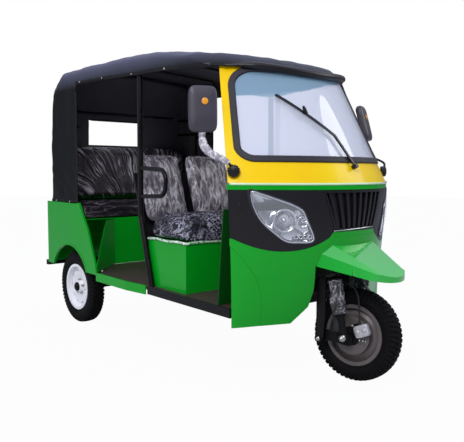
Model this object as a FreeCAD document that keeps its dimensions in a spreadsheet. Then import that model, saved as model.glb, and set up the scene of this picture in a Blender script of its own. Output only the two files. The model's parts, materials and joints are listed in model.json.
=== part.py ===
import FreeCAD, Part
import math
import os
import Sketcher
from FreeCAD import Placement, Rotation, Vector

# An auto rickshaw: a three-wheeled passenger taxi with a steered front wheel,
# a curved nose, a canvas roof on hoops, a driver's bench and a rear bench.
# X points forward from the rear axle, Y to the vehicle's left, Z up from the ground.

sizeTable = {
    # stance
    "wheelbase": 2045, "noseTip": 2300, "bumperRear": -505, "parkSteer": 11.5,
    "rakeAngle": 20, "steerOffset": 61, "runningGap": 0.08, "seatGap": 0.3,
    # wheels
    "frontTyreRadius": 242, "frontTyreWidth": 96, "frontRimRadius": 160, "frontHubRadius": 34,
    "rearTyreRadius": 257, "rearTyreWidth": 105, "rearRimRadius": 164, "rearHubRadius": 46,
    "rearTrack": 1096, "beadDepth": 14, "rimWall": 5, "axleRadius": 10, "spindleRadius": 15,
    "drumRadius": 92,
    # floor and frame
    "floorTop": 405, "floorPlate": 6, "floorHalfWidth": 590, "floorFront": 1700, "floorRear": 75,
    "railHeight": 60, "railWidth": 40, "railSpread": 660, "railFront": 1700, "railRear": -465,
    "tubeRadius": 18, "sillHalfWidth": 600, "sillHeight": 46,
    # nose skin, three levels, then the windscreen skin above it
    "skirtZ": 312, "cheekZ": 750, "ledgeZ": 1035, "ledgeDepth": 27, "noseWall": 10, "skinRear": 1736,
    "skirtHalf": 600, "skirtNose": 1902, "cheekHalf": 612, "cheekNose": 2030,
    "ledgeHalf": 632, "ledgeNose": 2038,
    "screenBaseHalf": 635, "screenBaseSide": 1742, "screenBaseNose": 1999,
    "screenTopDrop": 130, "screenTopHalf": 464, "screenTopSide": 1453, "screenTopNose": 1673,
    "gasketWidth": 22, "glassThickness": 5, "gasketStand": 6,
    "glassBottomZ": 1142, "glassTopDrop": 67, "glassBottomHalf": 566, "glassTopHalf": 428,
    "cheekFlat": 18, "ledgeProud": 3, "creaseStep": 3,
    "grilleBottomZ": 799, "grilleTopZ": 1003, "grilleTopHalf": 227, "grilleBottomHalf": 158,
    "slatCount": 8, "slatDepth": 18, "slatWidth": 20, "grilleRim": 11, "grilleBack": 3,
    "beakWall": 6, "beakRoot": 1900, "beakRootHalf": 263, "beakTipHalf": 104, "beakRootLow": 632,
    "beakTipLow": 558, "beakTipRound": 160,
    "wheelWellTopZ": 620, "wheelWellHalf": 228, "wheelWellFootHalf": 300, "wellCrestZ": 664,
    "wellCrestHalf": 185,
    # canopy
    "canopyWall": 5, "canopyHalf": 602, "canopyRear": -402, "canopyCrown": 1845, "eaveDrop": 100,
    "valanceDrop": 77, "canopyFoot": 858, "curtainFront": 100, "windowHalf": 285,
    "windowLowDrop": 552, "windowHighDrop": 353, "hoopRadius": 11, "visorFront": 1725,
    # rear body
    "quarterOuter": 622, "quarterWall": 14, "quarterTop": 860, "quarterFront": 345,
    "quarterRear": -412, "quarterFoot": 392, "archCentreX": -50, "archCentreZ": 265,
    "archRadius": 292, "archLip": 12, "archLipDepth": 18,
    "benchHalf": 320, "benchTop": 742, "benchFront": 75, "benchCushionThickness": 100,
    "panelWall": 4,
    # driver's seat
    "seatRear": 905, "seatFront": 1288, "seatHalf": 555, "seatTop": 690, "padThickness": 62,
    "cushionFront": 1318, "cushionRear": 868, "cushionThickness": 132, "backHeight": 395,
    "backRecline": 18, "centrePadWidth": 376, "sidePadWidth": 330, "padSpacing": 16,
    # pillars
    "pillarX": 850, "pillarHalf": 576, "kneeZ": 827, "footX": 970,
    "handleReach": 285, "handleTopZ": 1112, "handleLowZ": 940, "handleRadius": 13,
    # steering assembly
    "forkHalf": 120, "legRadius": 17, "stemRadius": 16, "headRadius": 27, "crownZ": 548,
    "pivotX": 1888, "pivotZ": 210, "barHalf": 270, "barZ": 1020, "barRadius": 11,
    "shockRadius": 36, "shockHalf": 140, "shockAhead": 87, "crownThickness": 32, "crownCorner": 26,
    "linkPinRadius": 10, "headLowZ": 585, "headHighZ": 860,
    # mirrors
    "mirrorHalf": 680, "mirrorWidth": 168, "mirrorHeight": 238, "mirrorDepth": 46, "mirrorZ": 1410,
    "knobRadius": 17,
    # running gear
    "axleTubeRadius": 28, "motorRadius": 95, "motorLength": 210, "springWidth": 50,
    "springHalf": 418, "springLeaf": 7, "springEyeX": 560, "springRearX": 403, "springBow": 7840,
    "springEyeRadius": 15, "towEyeRadius": 11, "bowlRadius": 82,
    "plateHoleRadius": 3.2, "plateHoleSpacing": 180,
}


class Dim(float):
    """A number that remembers the sheet expression it came from."""

    def __new__(cls, value, text):
        made = float.__new__(cls, value)
        made.text = text
        return made

    def joined(self, other, sign, value):
        return Dim(value, "({} {} {})".format(self.text, sign, textOf(other)))

    def __add__(self, other):
        return self.joined(other, "+", float(self) + float(other))

    def __sub__(self, other):
        return self.joined(other, "-", float(self) - float(other))

    def __mul__(self, other):
        return self.joined(other, "*", float(self) * float(other))

    def __truediv__(self, other):
        return self.joined(other, "/", float(self) / float(other))

    def __radd__(self, other):
        return Dim(float(other) + float(self), "({} + {})".format(textOf(other), self.text))

    def __rsub__(self, other):
        return Dim(float(other) - float(self), "({} - {})".format(textOf(other), self.text))

    def __rmul__(self, other):
        return Dim(float(other) * float(self), "({} * {})".format(textOf(other), self.text))

    def __neg__(self):
        return Dim(-float(self), "(-1 * {})".format(self.text))


def textOf(value):
    return value.text if isinstance(value, Dim) else "{:.6f}".format(float(value))


class Sizes:
    """Holds one Dim for each named size."""


doc = FreeCAD.newDocument("autoRickshaw")
sheet = doc.addObject("Spreadsheet::Sheet", "sizes")
size = Sizes()
for row, (sizeName, sizeValue) in enumerate(sizeTable.items(), start=1):
    sheet.set("A{}".format(row), sizeName)
    sheet.set("B{}".format(row), str(sizeValue))
    sheet.setAlias("B{}".format(row), sizeName)
    setattr(size, sizeName, Dim(sizeValue, "sizes." + sizeName))
doc.recompute()

# The row frame's origin is midway between the nose tip and the rear bumper.
originX = (size.noseTip + size.bumperRear) / 2

# heights that hang from the roof's crown, and how far forward the nose's cutting shapes run
eaveZ = size.canopyCrown - size.eaveDrop
valanceZ = eaveZ - size.valanceDrop
screenTopZ = size.canopyCrown - size.screenTopDrop
glassTopZ = screenTopZ - size.glassTopDrop
windowLow = size.canopyCrown - size.windowLowDrop
windowHigh = size.canopyCrown - size.windowHighDrop
noseFar = float(max(size.skirtNose, size.cheekNose, size.ledgeNose)) + 162
toRow = Placement(Vector(-originX, 0, 0), Rotation())
subparts = []


def bind(thing, path, value):
    if isinstance(value, Dim):
        thing.setExpression(path, value.text)


def keep(thing, name):
    thing.Label = name
    subparts.append(thing)
    return thing


def addShape(name, shape, placement=None):
    """A sub-part whose form is a loft, sweep or trimmed skin."""
    thing = doc.addObject("Part::Feature", name)
    thing.Shape = shape
    thing.Placement = (placement or toRow).multiply(shape.Placement)
    return keep(thing, name)


def boxFeature(name, low, high):
    """A bound Part::Box between two corners, given in the axle frame."""
    box = doc.addObject("Part::Box", name)
    box.Placement.Base = Vector(float(low[0] - originX), float(low[1]), float(low[2]))
    for side, first, last in zip(("Length", "Width", "Height"), low, high):
        setattr(box, side, float(last) - float(first))
        bind(box, side, last - first)
    bind(box, "Placement.Base.x", low[0] - originX)
    bind(box, "Placement.Base.y", low[1])
    bind(box, "Placement.Base.z", low[2])
    return box


def profileSketch(body, outline, plane):
    """A closed sketch through the outline's points, each one bound to the sheet."""
    sketch = body.newObject("Sketcher::SketchObject", body.Name + "Profile")
    support = [item for item in body.Origin.OriginFeatures if item.Role == plane][0]
    sketch.AttachmentSupport = [(support, "")]
    sketch.MapMode = "FlatFace"
    count = len(outline)
    for index, point in enumerate(outline):
        following = outline[(index + 1) % count]
        sketch.addGeometry(Part.LineSegment(Vector(float(point[0]), float(point[1]), 0),
                                            Vector(float(following[0]), float(following[1]), 0)))
    for index in range(count):
        sketch.addConstraint(Sketcher.Constraint("Coincident", index, 2, (index + 1) % count, 1))
    for index, point in enumerate(outline):
        for kind, value in zip(("DistanceX", "DistanceY"), point):
            number = sketch.addConstraint(Sketcher.Constraint(kind, -1, 1, index, 1, float(value)))
            bind(sketch, "Constraints[{}]".format(number), value)
    return sketch


def revolveBody(name, outline, placement):
    """A turned piece: the outline holds (radius, offset) points, turned about local Y."""
    body = doc.addObject("PartDesign::Body", name)
    sketch = profileSketch(body, outline, "XY_Plane")
    turned = body.newObject("PartDesign::Revolution", name + "Turned")
    turned.Profile = sketch
    turned.ReferenceAxis = (sketch, ["V_Axis"])
    turned.Angle = 360
    body.Tip = turned
    body.Placement = placement
    return keep(body, name)


def padBody(name, outline, plane, length, placement):
    """A body padded both ways from one of its origin planes."""
    body = doc.addObject("PartDesign::Body", name)
    sketch = profileSketch(body, outline, plane)
    pad = body.newObject("PartDesign::Pad", name + "Pad")
    pad.Profile = sketch
    pad.Midplane = True
    pad.Length = float(length)
    bind(pad, "Length", length)
    body.Tip = pad
    body.Placement = placement
    return keep(body, name)


def prism(axis, outline, low, high):
    """An outline extruded along one axis; its points are in the other two axes' order."""
    low, high = float(low), float(high)
    place = {"X": lambda p: Vector(low, p[0], p[1]),
             "Y": lambda p: Vector(p[0], low, p[1]),
             "Z": lambda p: Vector(p[0], p[1], low)}[axis]
    points = [place((float(p[0]), float(p[1]))) for p in outline]
    face = Part.Face(Part.makePolygon(points + [points[0]]))
    along = {"X": Vector(1, 0, 0), "Y": Vector(0, 1, 0), "Z": Vector(0, 0, 1)}[axis]
    return face.extrude(along * (high - low))


def block(low, high):
    return prism("Z", [(low[0], low[1]), (high[0], low[1]), (high[0], high[1]), (low[0], high[1])],
                 low[2], high[2])


def rod(start, end, radius):
    span = Vector(*end) - Vector(*start)
    return Part.makeCylinder(float(radius), span.Length, Vector(*start), span)


def mirrored(shape):
    return shape.mirror(Vector(0, 0, 0), Vector(0, 1, 0))


def bothSides(shape):
    return Part.makeCompound([shape, mirrored(shape)])


def joinedSolid(shapes):
    whole = shapes[0].fuse(shapes[1:]) if len(shapes) > 1 else shapes[0]
    return whole.removeSplitter()


def bentPath(points, bend):
    """Straight runs joined by tangent arcs of one radius."""
    points = [Vector(*p) for p in points]
    edges = []
    start = points[0]
    for before, corner, after in zip(points, points[1:], points[2:]):
        inward = (before - corner).normalize()
        outward = (after - corner).normalize()
        half = inward.getAngle(outward) / 2
        setback = float(bend) / math.tan(half)
        first = corner + inward * setback
        last = corner + outward * setback
        towards = (inward + outward).normalize()
        middle = corner + towards * (float(bend) / math.sin(half) - float(bend))
        edges.append(Part.LineSegment(start, first).toShape())
        edges.append(Part.Arc(first, middle, last).toShape())
        start = last
    edges.append(Part.LineSegment(start, points[-1]).toShape())
    return Part.Wire(edges)


def bentTube(points, radius, bend):
    path = bentPath(points, bend)
    direction = Vector(*points[1]) - Vector(*points[0])
    ring = Part.Wire(Part.makeCircle(float(radius), Vector(*points[0]), direction))
    return path.makePipeShell([ring], True, False)


# The nose skin

class NoseArc:
    """The circle through the nose and both sides of one plan section, and its inset copies."""

    def __init__(self, sideX, sideHalf, noseX, inset, back):
        self.half = float(sideHalf)
        rise = float(noseX) - float(sideX)
        radius = (self.half * self.half + rise * rise) / (2 * rise)
        self.centre = float(noseX) - radius
        self.inner = radius - inset
        self.rearX = float(sideX) - back
        self.reach = math.sqrt(self.inner ** 2 - (self.rearX - self.centre) ** 2)


def screenSection(level, arc):
    """A windscreen section: the plain arc, closed by a straight line behind it."""
    z = float(level)
    left, right = Vector(arc.rearX, arc.reach, z), Vector(arc.rearX, -arc.reach, z)
    front = Part.Arc(right, Vector(arc.centre + arc.inner, 0, z), left)
    return Part.Wire([front.toShape(), Part.LineSegment(left, right).toShape()])


def cheekSection(level, arc):
    """A nose section: the arc, pressed in on both cheeks by flat * 16 u^2 (1 - u)^2.

    Here u is the square of y over the half width.
    """
    flat = float(size.cheekFlat)
    spans = 16

    def point(y):
        u = min((y / arc.half) ** 2, 1)
        x = arc.centre + math.sqrt(arc.inner ** 2 - y * y) - flat * 16 * (u * (1 - u)) ** 2
        return Vector(x, y, float(level))

    def tangent(y):
        u = min((y / arc.half) ** 2, 1)
        press = flat * 32 * u * (1 - u) * (1 - 2 * u) * 2 * y / arc.half ** 2
        return Vector(-y / math.sqrt(arc.inner ** 2 - y * y) - press, 1, 0)

    points = [point(arc.reach * (index * 2 / spans - 1)) for index in range(spans + 1)]
    curve = Part.BSplineCurve()
    curve.interpolate(Points=points, InitialTangent=tangent(-arc.reach), FinalTangent=tangent(arc.reach))
    return Part.Wire([curve.toShape(), Part.LineSegment(points[-1], points[0]).toShape()])


def lowerSkin(inset, back=0):
    levels = [(size.skirtZ, size.skirtHalf, size.skirtNose), (size.cheekZ, size.cheekHalf, size.cheekNose),
              (size.ledgeZ, size.ledgeHalf, size.ledgeNose)]
    return Part.makeLoft([cheekSection(z, NoseArc(size.skinRear, half, nose, inset, back))
                          for z, half, nose in levels], True, False)


def upperSkin(inset, back=0):
    low = NoseArc(size.screenBaseSide, size.screenBaseHalf, size.screenBaseNose, inset, back)
    high = NoseArc(size.screenTopSide, size.screenTopHalf, size.screenTopNose, inset, back)
    return Part.makeLoft([screenSection(size.ledgeZ, low), screenSection(screenTopZ, high)], True, True)


lowerOuter = lowerSkin(0)
lowerShell = lowerOuter.cut(lowerSkin(float(size.noseWall), 60))
upperOuter = upperSkin(0)
upperShell = upperOuter.cut(upperSkin(float(size.noseWall), 60))

cheekOuterY, cheekLowY, cheekInnerY = 607, 386, 181


def maskRegion(shift):
    """The front view of everything above the mask's lower edge, moved down by shift."""
    innerZ, innerY = float(size.grilleBottomZ) - 5 - shift, float(size.grilleBottomHalf) + 4
    sideZ, lowZ, turnZ = 766 - shift, 701 - shift, 768 - shift
    far = 700
    top = float(size.ledgeZ) + 100

    def at(y, z):
        return Vector(1500, y, z)

    def cheekArc(side):
        return Part.Arc(at(side * cheekOuterY, sideZ), at(side * cheekLowY, lowZ),
                        at(side * cheekInnerY, turnZ))

    chain = [at(-cheekInnerY, turnZ), at(-innerY, innerZ), at(innerY, innerZ), at(cheekInnerY, turnZ)]
    edges = [cheekArc(-1).toShape(), cheekArc(1).toShape()]
    edges += [Part.LineSegment(a, b).toShape() for a, b in zip(chain, chain[1:])]
    outer = [at(cheekOuterY, sideZ), at(far, sideZ), at(far, top), at(-far, top), at(-far, sideZ),
             at(-cheekOuterY, sideZ)]
    edges += [Part.LineSegment(a, b).toShape() for a, b in zip(outer, outer[1:])]
    wire = Part.Wire(Part.__sortEdges__(edges))
    return Part.Face(wire).extrude(Vector(noseFar - 1500, 0, 0))


lampTop = (550, 1003)
lampFoot = (265, 753)
lampInnerEdge = [(510, 993), (438, 964), (370, 935), (327, 904), (300, 849)]
lampOuterEdge = [(339, 742), (396, 751), (452, 797), (506, 856), (542, 935)]


def headlightPrism(side, grow):
    """The lamp's front view, a leaf that tapers up and back to the cheek, run along X."""
    loop = [lampTop] + lampInnerEdge + [lampFoot] + lampOuterEdge
    middleY = sum(y for y, z in loop) / len(loop)
    middleZ = sum(z for y, z in loop) / len(loop)

    def grown(y, z):
        scale = 1 + grow / math.hypot(y - middleY, z - middleZ)
        return Vector(1600, side * (middleY + (y - middleY) * scale), middleZ + (z - middleZ) * scale)

    edges = []
    for points in ([lampTop] + lampInnerEdge + [lampFoot], [lampFoot] + lampOuterEdge + [lampTop]):
        curve = Part.BSplineCurve()
        curve.interpolate([grown(y, z) for y, z in points])
        edges.append(curve.toShape())
    return Part.Face(Part.Wire(edges)).extrude(Vector(noseFar - 1600, 0, 0))


def grillePrism(grow):
    low, high = float(size.grilleBottomZ) - grow, float(size.grilleTopZ) + grow
    foot, head = float(size.grilleBottomHalf) + grow, float(size.grilleTopHalf) + grow
    return prism("X", [(-foot, low), (foot, low), (head, high), (-head, high)], 1700, noseFar)


ledgeLow = float(size.ledgeZ - size.ledgeDepth)


def creaseRegion():
    """The front view of each side's inner cowl, inside the pressed line from cheek to hem."""
    line = [(660, 768), (606, 720), (577, 681), (537, 620), (498, 548), (471, 453), (462, 380), (458, 280)]
    solids = []
    for side in (-1, 1):
        curve = Part.BSplineCurve()
        curve.interpolate([Vector(1500, side * y, z) for y, z in line])
        first, last = curve.StartPoint, curve.EndPoint
        middle = Vector(1500, 0, last.z), Vector(1500, 0, first.z)
        edges = [curve.toShape(), Part.LineSegment(last, middle[0]).toShape(),
                 Part.LineSegment(middle[0], middle[1]).toShape(),
                 Part.LineSegment(middle[1], first).toShape()]
        solids.append(Part.Face(Part.Wire(edges)).extrude(Vector(noseFar - 1500, 0, 0)))
    return solids[0].fuse(solids[1])


def makeNose():
    gap = float(size.seatGap)
    foot, half, low = float(size.wheelWellFootHalf), float(size.wheelWellHalf), float(size.skirtZ)
    crest, crestZ, top = float(size.wellCrestHalf), float(size.wellCrestZ), float(size.wheelWellTopZ)
    edge = [(foot, low - 112), (foot, low), (half, 400), (half - 6, 490), (half + 12, top), (crest, crestZ)]
    well = prism("X", [(-y, z) for y, z in edge] + [(y, z) for y, z in reversed(edge)], 1700, noseFar)
    belowLedge = block((1500, -800, 0), (noseFar, 800, ledgeLow - gap))
    raised = lowerSkin(-float(size.creaseStep)).cut(lowerSkin(float(size.noseWall) / 2, 60))
    raised = raised.common(creaseRegion())
    cowl = lowerShell.fuse(raised).cut(maskRegion(gap)).cut(well)
    addShape("front_cowl", cowl.removeSplitter())
    mask = lowerShell.common(maskRegion(0)).common(belowLedge)
    for side in (-1, 1):
        mask = mask.cut(headlightPrism(side, gap))
    mask = mask.cut(grillePrism(gap))
    addShape("nose_mask", mask)
    ledge = lowerSkin(-float(size.ledgeProud))
    ledge = ledge.cut(upperSkin(float(size.noseWall), 120).fuse(lowerSkin(60, 120)))
    slab = block((float(size.skinRear), -800, ledgeLow), (noseFar, 800, float(size.ledgeZ) - gap))
    addShape("cowl_ledge", ledge.common(slab))
    lampShell = lowerSkin(-4).cut(lowerSkin(26, 60)).common(belowLedge)
    for side, name in ((-1, "headlight_right"), (1, "headlight_left")):
        addShape(name, lampShell.common(headlightPrism(side, 0)))


def makeGrille():
    """Upright slats between a top and a bottom bar, in a tapered frame with a blind back."""
    count = int(size.slatCount)
    low, high = float(size.grilleBottomZ), float(size.grilleTopZ)
    foot, head = float(size.grilleBottomHalf), float(size.grilleTopHalf)
    rim, depth, back = float(size.grilleRim), float(size.slatDepth), float(size.grilleBack)
    inside = prism("X", [(-foot + rim, low + rim), (foot - rim, low + rim),
                         (head - rim, high - rim), (-head + rim, high - rim)], 1700, noseFar)
    inside = inside.common(lowerSkin(-60).cut(lowerSkin(depth, 60)))
    frame = lowerSkin(-3).cut(lowerSkin(depth + back, 60)).common(grillePrism(0)).cut(inside)
    slats = []
    width = float(size.slatWidth) / 2
    for index in range(count):
        share = (index + 0.5) / count * 2 - 1
        bottomY, topY = share * (foot - rim), share * (head - rim)
        slats.append(prism("X", [(bottomY - width, low + rim / 2), (bottomY + width, low + rim / 2),
                                 (topY + width, high - rim / 2), (topY - width, high - rim / 2)],
                           1700, noseFar))
    skin = lowerSkin(4).cut(lowerSkin(depth + back / 2, 60)).common(grillePrism(0))
    bars = skin.common(Part.makeCompound(slats))
    addShape("grille", joinedSolid([frame] + bars.Solids))


def screenOutline(grow):
    """The windscreen's front view, a rounded trapezium, grown outwards."""
    low, high = float(size.glassBottomZ) - grow, float(glassTopZ) + grow
    foot, head = float(size.glassBottomHalf) + grow, float(size.glassTopHalf) + grow
    return [(-foot, low), (foot, low), (head, high), (-head, high)]


def screenPrism(grow, corner=45):
    solid = prism("X", screenOutline(grow), 1300, noseFar)
    edges = [e for e in solid.Edges if abs(e.tangentAt(e.FirstParameter).x) > 0.99]
    return solid.makeFillet(corner, edges)


def makeScreen():
    gap = float(size.seatGap)
    width = float(size.gasketWidth)
    frame = upperShell.cut(screenPrism(-width + gap))
    above = block((1300, -800, float(size.ledgeZ) + gap), (noseFar, 800, float(screenTopZ) - 3))
    roof = block((1200, -900, 1610), (2100, 900, 2000)).cut(canopyLoft(float(size.canopyWall) + gap, 40))
    addShape("windscreen_frame", frame.common(above).cut(roof))
    stand = float(size.gasketStand)
    proud = upperSkin(-stand).cut(upperSkin(-gap, 60))
    lip = proud.common(screenPrism(0)).cut(screenPrism(-width - 12))
    inner = upperSkin(-gap).cut(upperSkin(float(size.noseWall), 60))
    inner = inner.common(screenPrism(-width)).cut(screenPrism(-width - 12))
    addShape("windscreen_seal", joinedSolid([lip, inner]))
    thickness = float(size.glassThickness)
    glass = upperSkin(1).cut(upperSkin(1 + thickness, 60)).common(screenPrism(-width - 12 - gap))
    addShape("windscreen_glass", glass)


def makeBeak():
    """The stub mudguard over the front wheel: a top facet, two side facets and a skirt."""
    wall, tip = float(size.beakWall), float(size.noseTip)
    root = float(size.beakRoot)
    rootHalf, tipHalf = float(size.beakRootHalf), float(size.beakTipHalf)
    rootLow, tipLow = float(size.beakRootLow), float(size.beakTipLow)

    def section(x, edge):
        points = [Vector(x, -y, z) for y, z in edge] + [Vector(x, y, z) for y, z in reversed(edge)]
        return Part.makePolygon(points + [points[0]])

    rootEdge = [(rootHalf, rootLow), (rootHalf - 9, rootLow + 78), (rootHalf - 73, rootLow + 148)]
    tipEdge = [(tipHalf, tipLow), (tipHalf - 11, tipLow + 30), (tipHalf - 17, tipLow + 27.5)]

    def thinned(edge):
        (lowY, lowZ), (ridgeY, ridgeZ), (crestY, crestZ) = edge
        return [(lowY - wall, lowZ - 70), (ridgeY - wall, ridgeZ - wall), (crestY - wall, crestZ - wall)]

    outer = Part.makeLoft([section(root, rootEdge), section(tip, tipEdge)], True, True)
    inner = Part.makeLoft([section(root, thinned(rootEdge)), section(tip, thinned(tipEdge))], True, True)

    def plan(inset):
        """Seen from above: a round front, open sides and a straight back."""
        radius = float(size.beakTipRound) - inset
        middle = tip - float(size.beakTipRound)
        front = Part.Arc(Vector(middle, -radius, 0), Vector(middle + radius, 0, 0), Vector(middle, radius, 0))
        back = Part.makePolygon([Vector(middle, radius, 0), Vector(middle, 330, 0), Vector(1800, 330, 0),
                                 Vector(1800, -330, 0), Vector(middle, -330, 0), Vector(middle, -radius, 0)])
        return Part.Face(Part.Wire([front.toShape()] + back.Edges)).extrude(Vector(0, 0, 1200))

    shell = outer.common(plan(0)).cut(inner.common(plan(wall)))
    shell = shell.cut(lowerSkin(-float(size.seatGap) - float(size.creaseStep)).fuse(lowerSkin(40, 200)))
    solids = sorted(shell.Solids, key=lambda solid: solid.Volume)
    addShape("front_mudguard", solids[-1])


def canopyArch(x, half, eave, crown, inset):
    """One cross section of the roof: upright sides, rounded shoulders, a crowned top."""
    half, eave, crown = half - inset, eave - inset * 0.6, crown - inset
    low = float(size.canopyFoot) - (100 if inset else 0)
    shoulderY = half - 70
    shoulderZ = eave + (crown - eave) * 0.62
    bendZ = eave + (shoulderZ - eave) * 0.66

    def at(y, z):
        return Vector(x, y, z)

    edges = [Part.LineSegment(at(-half, low), at(-half, eave)),
             Part.Arc(at(-half, eave), at(-half + 18, bendZ), at(-shoulderY, shoulderZ)),
             Part.Arc(at(-shoulderY, shoulderZ), at(0, crown), at(shoulderY, shoulderZ)),
             Part.Arc(at(shoulderY, shoulderZ), at(half - 18, bendZ), at(half, eave)),
             Part.LineSegment(at(half, eave), at(half, low)), Part.LineSegment(at(half, low), at(-half, low))]
    return Part.Wire([edge.toShape() for edge in edges])


def canopyLoft(inset, spare):
    half, eave, crown = float(size.canopyHalf), float(eaveZ), float(size.canopyCrown)
    front = float(size.visorFront)
    stations = [(-480 - spare, half, eave, crown), (900, half, eave - 8, crown - 8),
                (1250, half - 20, eave - 42, crown - 46), (1500, half - 92, eave - 55, crown - 88),
                (front + 60 + spare, half - 175, eave - 104, crown - 192)]
    return Part.makeLoft([canopyArch(x, h, e, c, inset) for x, h, e, c in stations], True, True)


def makeCanopy():
    half, eave, crown = float(size.canopyHalf), float(eaveZ), float(size.canopyCrown)
    wall = float(size.canopyWall)

    def profile(inset, spare):
        rear = float(size.canopyRear) + inset
        top = crown + 60
        return prism("Y", [(rear, 700), (rear, size.canopyFoot), (rear + 32, crown - 305),
                           (rear + 70, crown - 185),
                           (rear + 130, crown - 93), (rear + 215, crown - 39 - inset), (rear + 330, top),
                           (1700 + spare, top), (1700 + spare, 700)], -900, 900)

    outer = canopyLoft(0, 0).common(profile(0, 100))
    inner = canopyLoft(wall, 40).common(profile(wall, 140))
    canopy = outer.cut(inner)
    visor, corner = float(size.visorFront), 1485
    front = Part.Arc(Vector(corner, -560, 0), Vector(visor, 0, 0), Vector(corner, 560, 0)).toShape()
    back = Part.makePolygon([Vector(corner, 560, 0), Vector(corner, 900, 0), Vector(-900, 900, 0),
                             Vector(-900, -900, 0), Vector(corner, -900, 0), Vector(corner, -560, 0)])
    plan = Part.Face(Part.Wire([front] + back.Edges)).extrude(Vector(0, 0, 2400))
    canopy = canopy.common(plan)
    front = float(size.curtainFront)
    doorway = prism("Y", [(front, 700), (front, float(valanceZ)), (900, float(valanceZ)),
                          (1500, float(valanceZ) - 26), (1900, float(valanceZ) - 62), (1900, 700)],
                    -900, 900)
    canopy = canopy.cut(doorway)
    window = block((-600, -size.windowHalf, windowLow), (-200, size.windowHalf, windowHigh))
    edges = [e for e in window.Edges if abs(e.tangentAt(e.FirstParameter).x) > 0.99]
    canopy = canopy.cut(window.makeFillet(24, edges))
    canopy = canopy.cut(block((-600, -900, 600), (1700, 900, float(size.canopyFoot))))
    addShape("canopy", canopy)
    radius = float(size.hoopRadius)
    inset = wall + radius - 0.5
    hoops = []
    places = ((-150, 8), (190, 2), (590, 4), (1000, 18))
    for x, drop in places:
        yOut = half - inset
        top = crown - inset - drop - 4
        shoulder = eave + (crown - eave) * 0.62 - inset * 0.8 - drop
        foot = 1225 if x < float(size.curtainFront) else float(valanceZ) + 14
        hoops.append(bentTube([(x, -yOut, foot), (x, -yOut, eave - 14 - drop), (x, -yOut + 95, shoulder - 2),
                               (x, 0, top), (x, yOut - 95, shoulder - 2), (x, yOut, eave - 14 - drop),
                               (x, yOut, foot)], radius, 24))
    inside = wall + float(size.seatGap)
    within = canopyLoft(inside, 40).common(profile(inside, 140))
    addShape("roof_hoops", Part.makeCompound([hoop.common(within).Solids[0] for hoop in hoops]))


def makePillars():
    half, radius = float(size.pillarHalf), float(size.tubeRadius)
    x, foot = float(size.pillarX), float(size.footX)
    reach = x + 18 + float(size.handleReach)
    for side, name in ((-1, "right"), (1, "left")):
        y = side * half
        lean = (foot - x) / (float(size.kneeZ) - float(size.floorTop))
        tube = bentTube([(x, y, float(valanceZ) - 8), (x, y, float(size.kneeZ)),
                         (foot + 40 * lean, y, float(size.floorTop) - 40)], radius, 90)
        below = block((foot - 100, y - 60, 300), (foot + 140, y + 60, float(size.floorTop + size.seatGap)))
        tube = tube.cut(below)
        handle = bentTube([(x, y, float(size.handleTopZ)), (reach - 25, y, float(size.handleTopZ) - 12),
                           (reach - 40, y, float(size.handleLowZ) + 12), (x, y, float(size.handleLowZ))],
                          float(size.handleRadius), 62)
        addShape("pillar_" + name, joinedSolid([tube, handle]))


def makeFloorAndFrame():
    top, plate = size.floorTop, size.floorPlate
    half, bench = size.floorHalfWidth, size.benchHalf
    rear, corner = size.floorRear, size.quarterFront
    outline = [(rear, -bench), (corner, -half), (size.floorFront, -half), (size.floorFront, half),
               (corner, half), (rear, bench)]
    body = padBody("floor_pan", [(x, y) for x, y in outline], "XY_Plane", plate,
                   Placement(Vector(-originX, 0, top - plate / 2), Rotation()))
    bind(body, "Placement.Base.z", top - plate / 2)
    bind(body, "Placement.Base.x", -originX)
    railTop = top - plate
    railLow = railTop - size.railHeight
    rails = []
    for side, name in ((-1, "frame_rail_right"), (1, "frame_rail_left")):
        centre = size.railSpread * 0.5 * side
        rails.append(keep(boxFeature(name, (size.railRear, centre - size.railWidth / 2, railLow),
                                     (size.railFront, centre + size.railWidth / 2, railTop)), name))
    inner = size.railSpread / 2 - size.railWidth / 2
    cross = [block((x - 20, -inner, railLow + 8), (x + 20, inner, railTop - 2))
             for x in (-395, 330, 880, 1330, 1675)]
    addShape("frame_crossbars", Part.makeCompound(cross))
    outerRail = size.railSpread / 2 + size.railWidth / 2
    sill = size.sillHalfWidth
    low = top - size.sillHeight
    bar = block((955, sill - 30, low), (1722, sill, top - plate - 0.5))
    lip = block((1000, sill - 9, top - plate - 1), (1722, sill, top + 3))
    addShape("door_sills", bothSides(joinedSolid([bar, lip])))
    step = prism("Z", [(350, 622), (745, 622), (930, 598), (930, 592), (742, 610), (350, 610)], 352, 408)
    addShape("step_panels", bothSides(step))
    arms = [block((x, outerRail, low + 6), (x + 34, sill - 30, top - plate - 2)) for x in (990, 1320, 1640)]
    arms += [block((x, outerRail, low + 6), (x + 34, 610, top - plate - 2)) for x in (420, 690)]
    addShape("frame_outriggers", Part.makeCompound(arms + [mirrored(arm) for arm in arms]))


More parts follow.
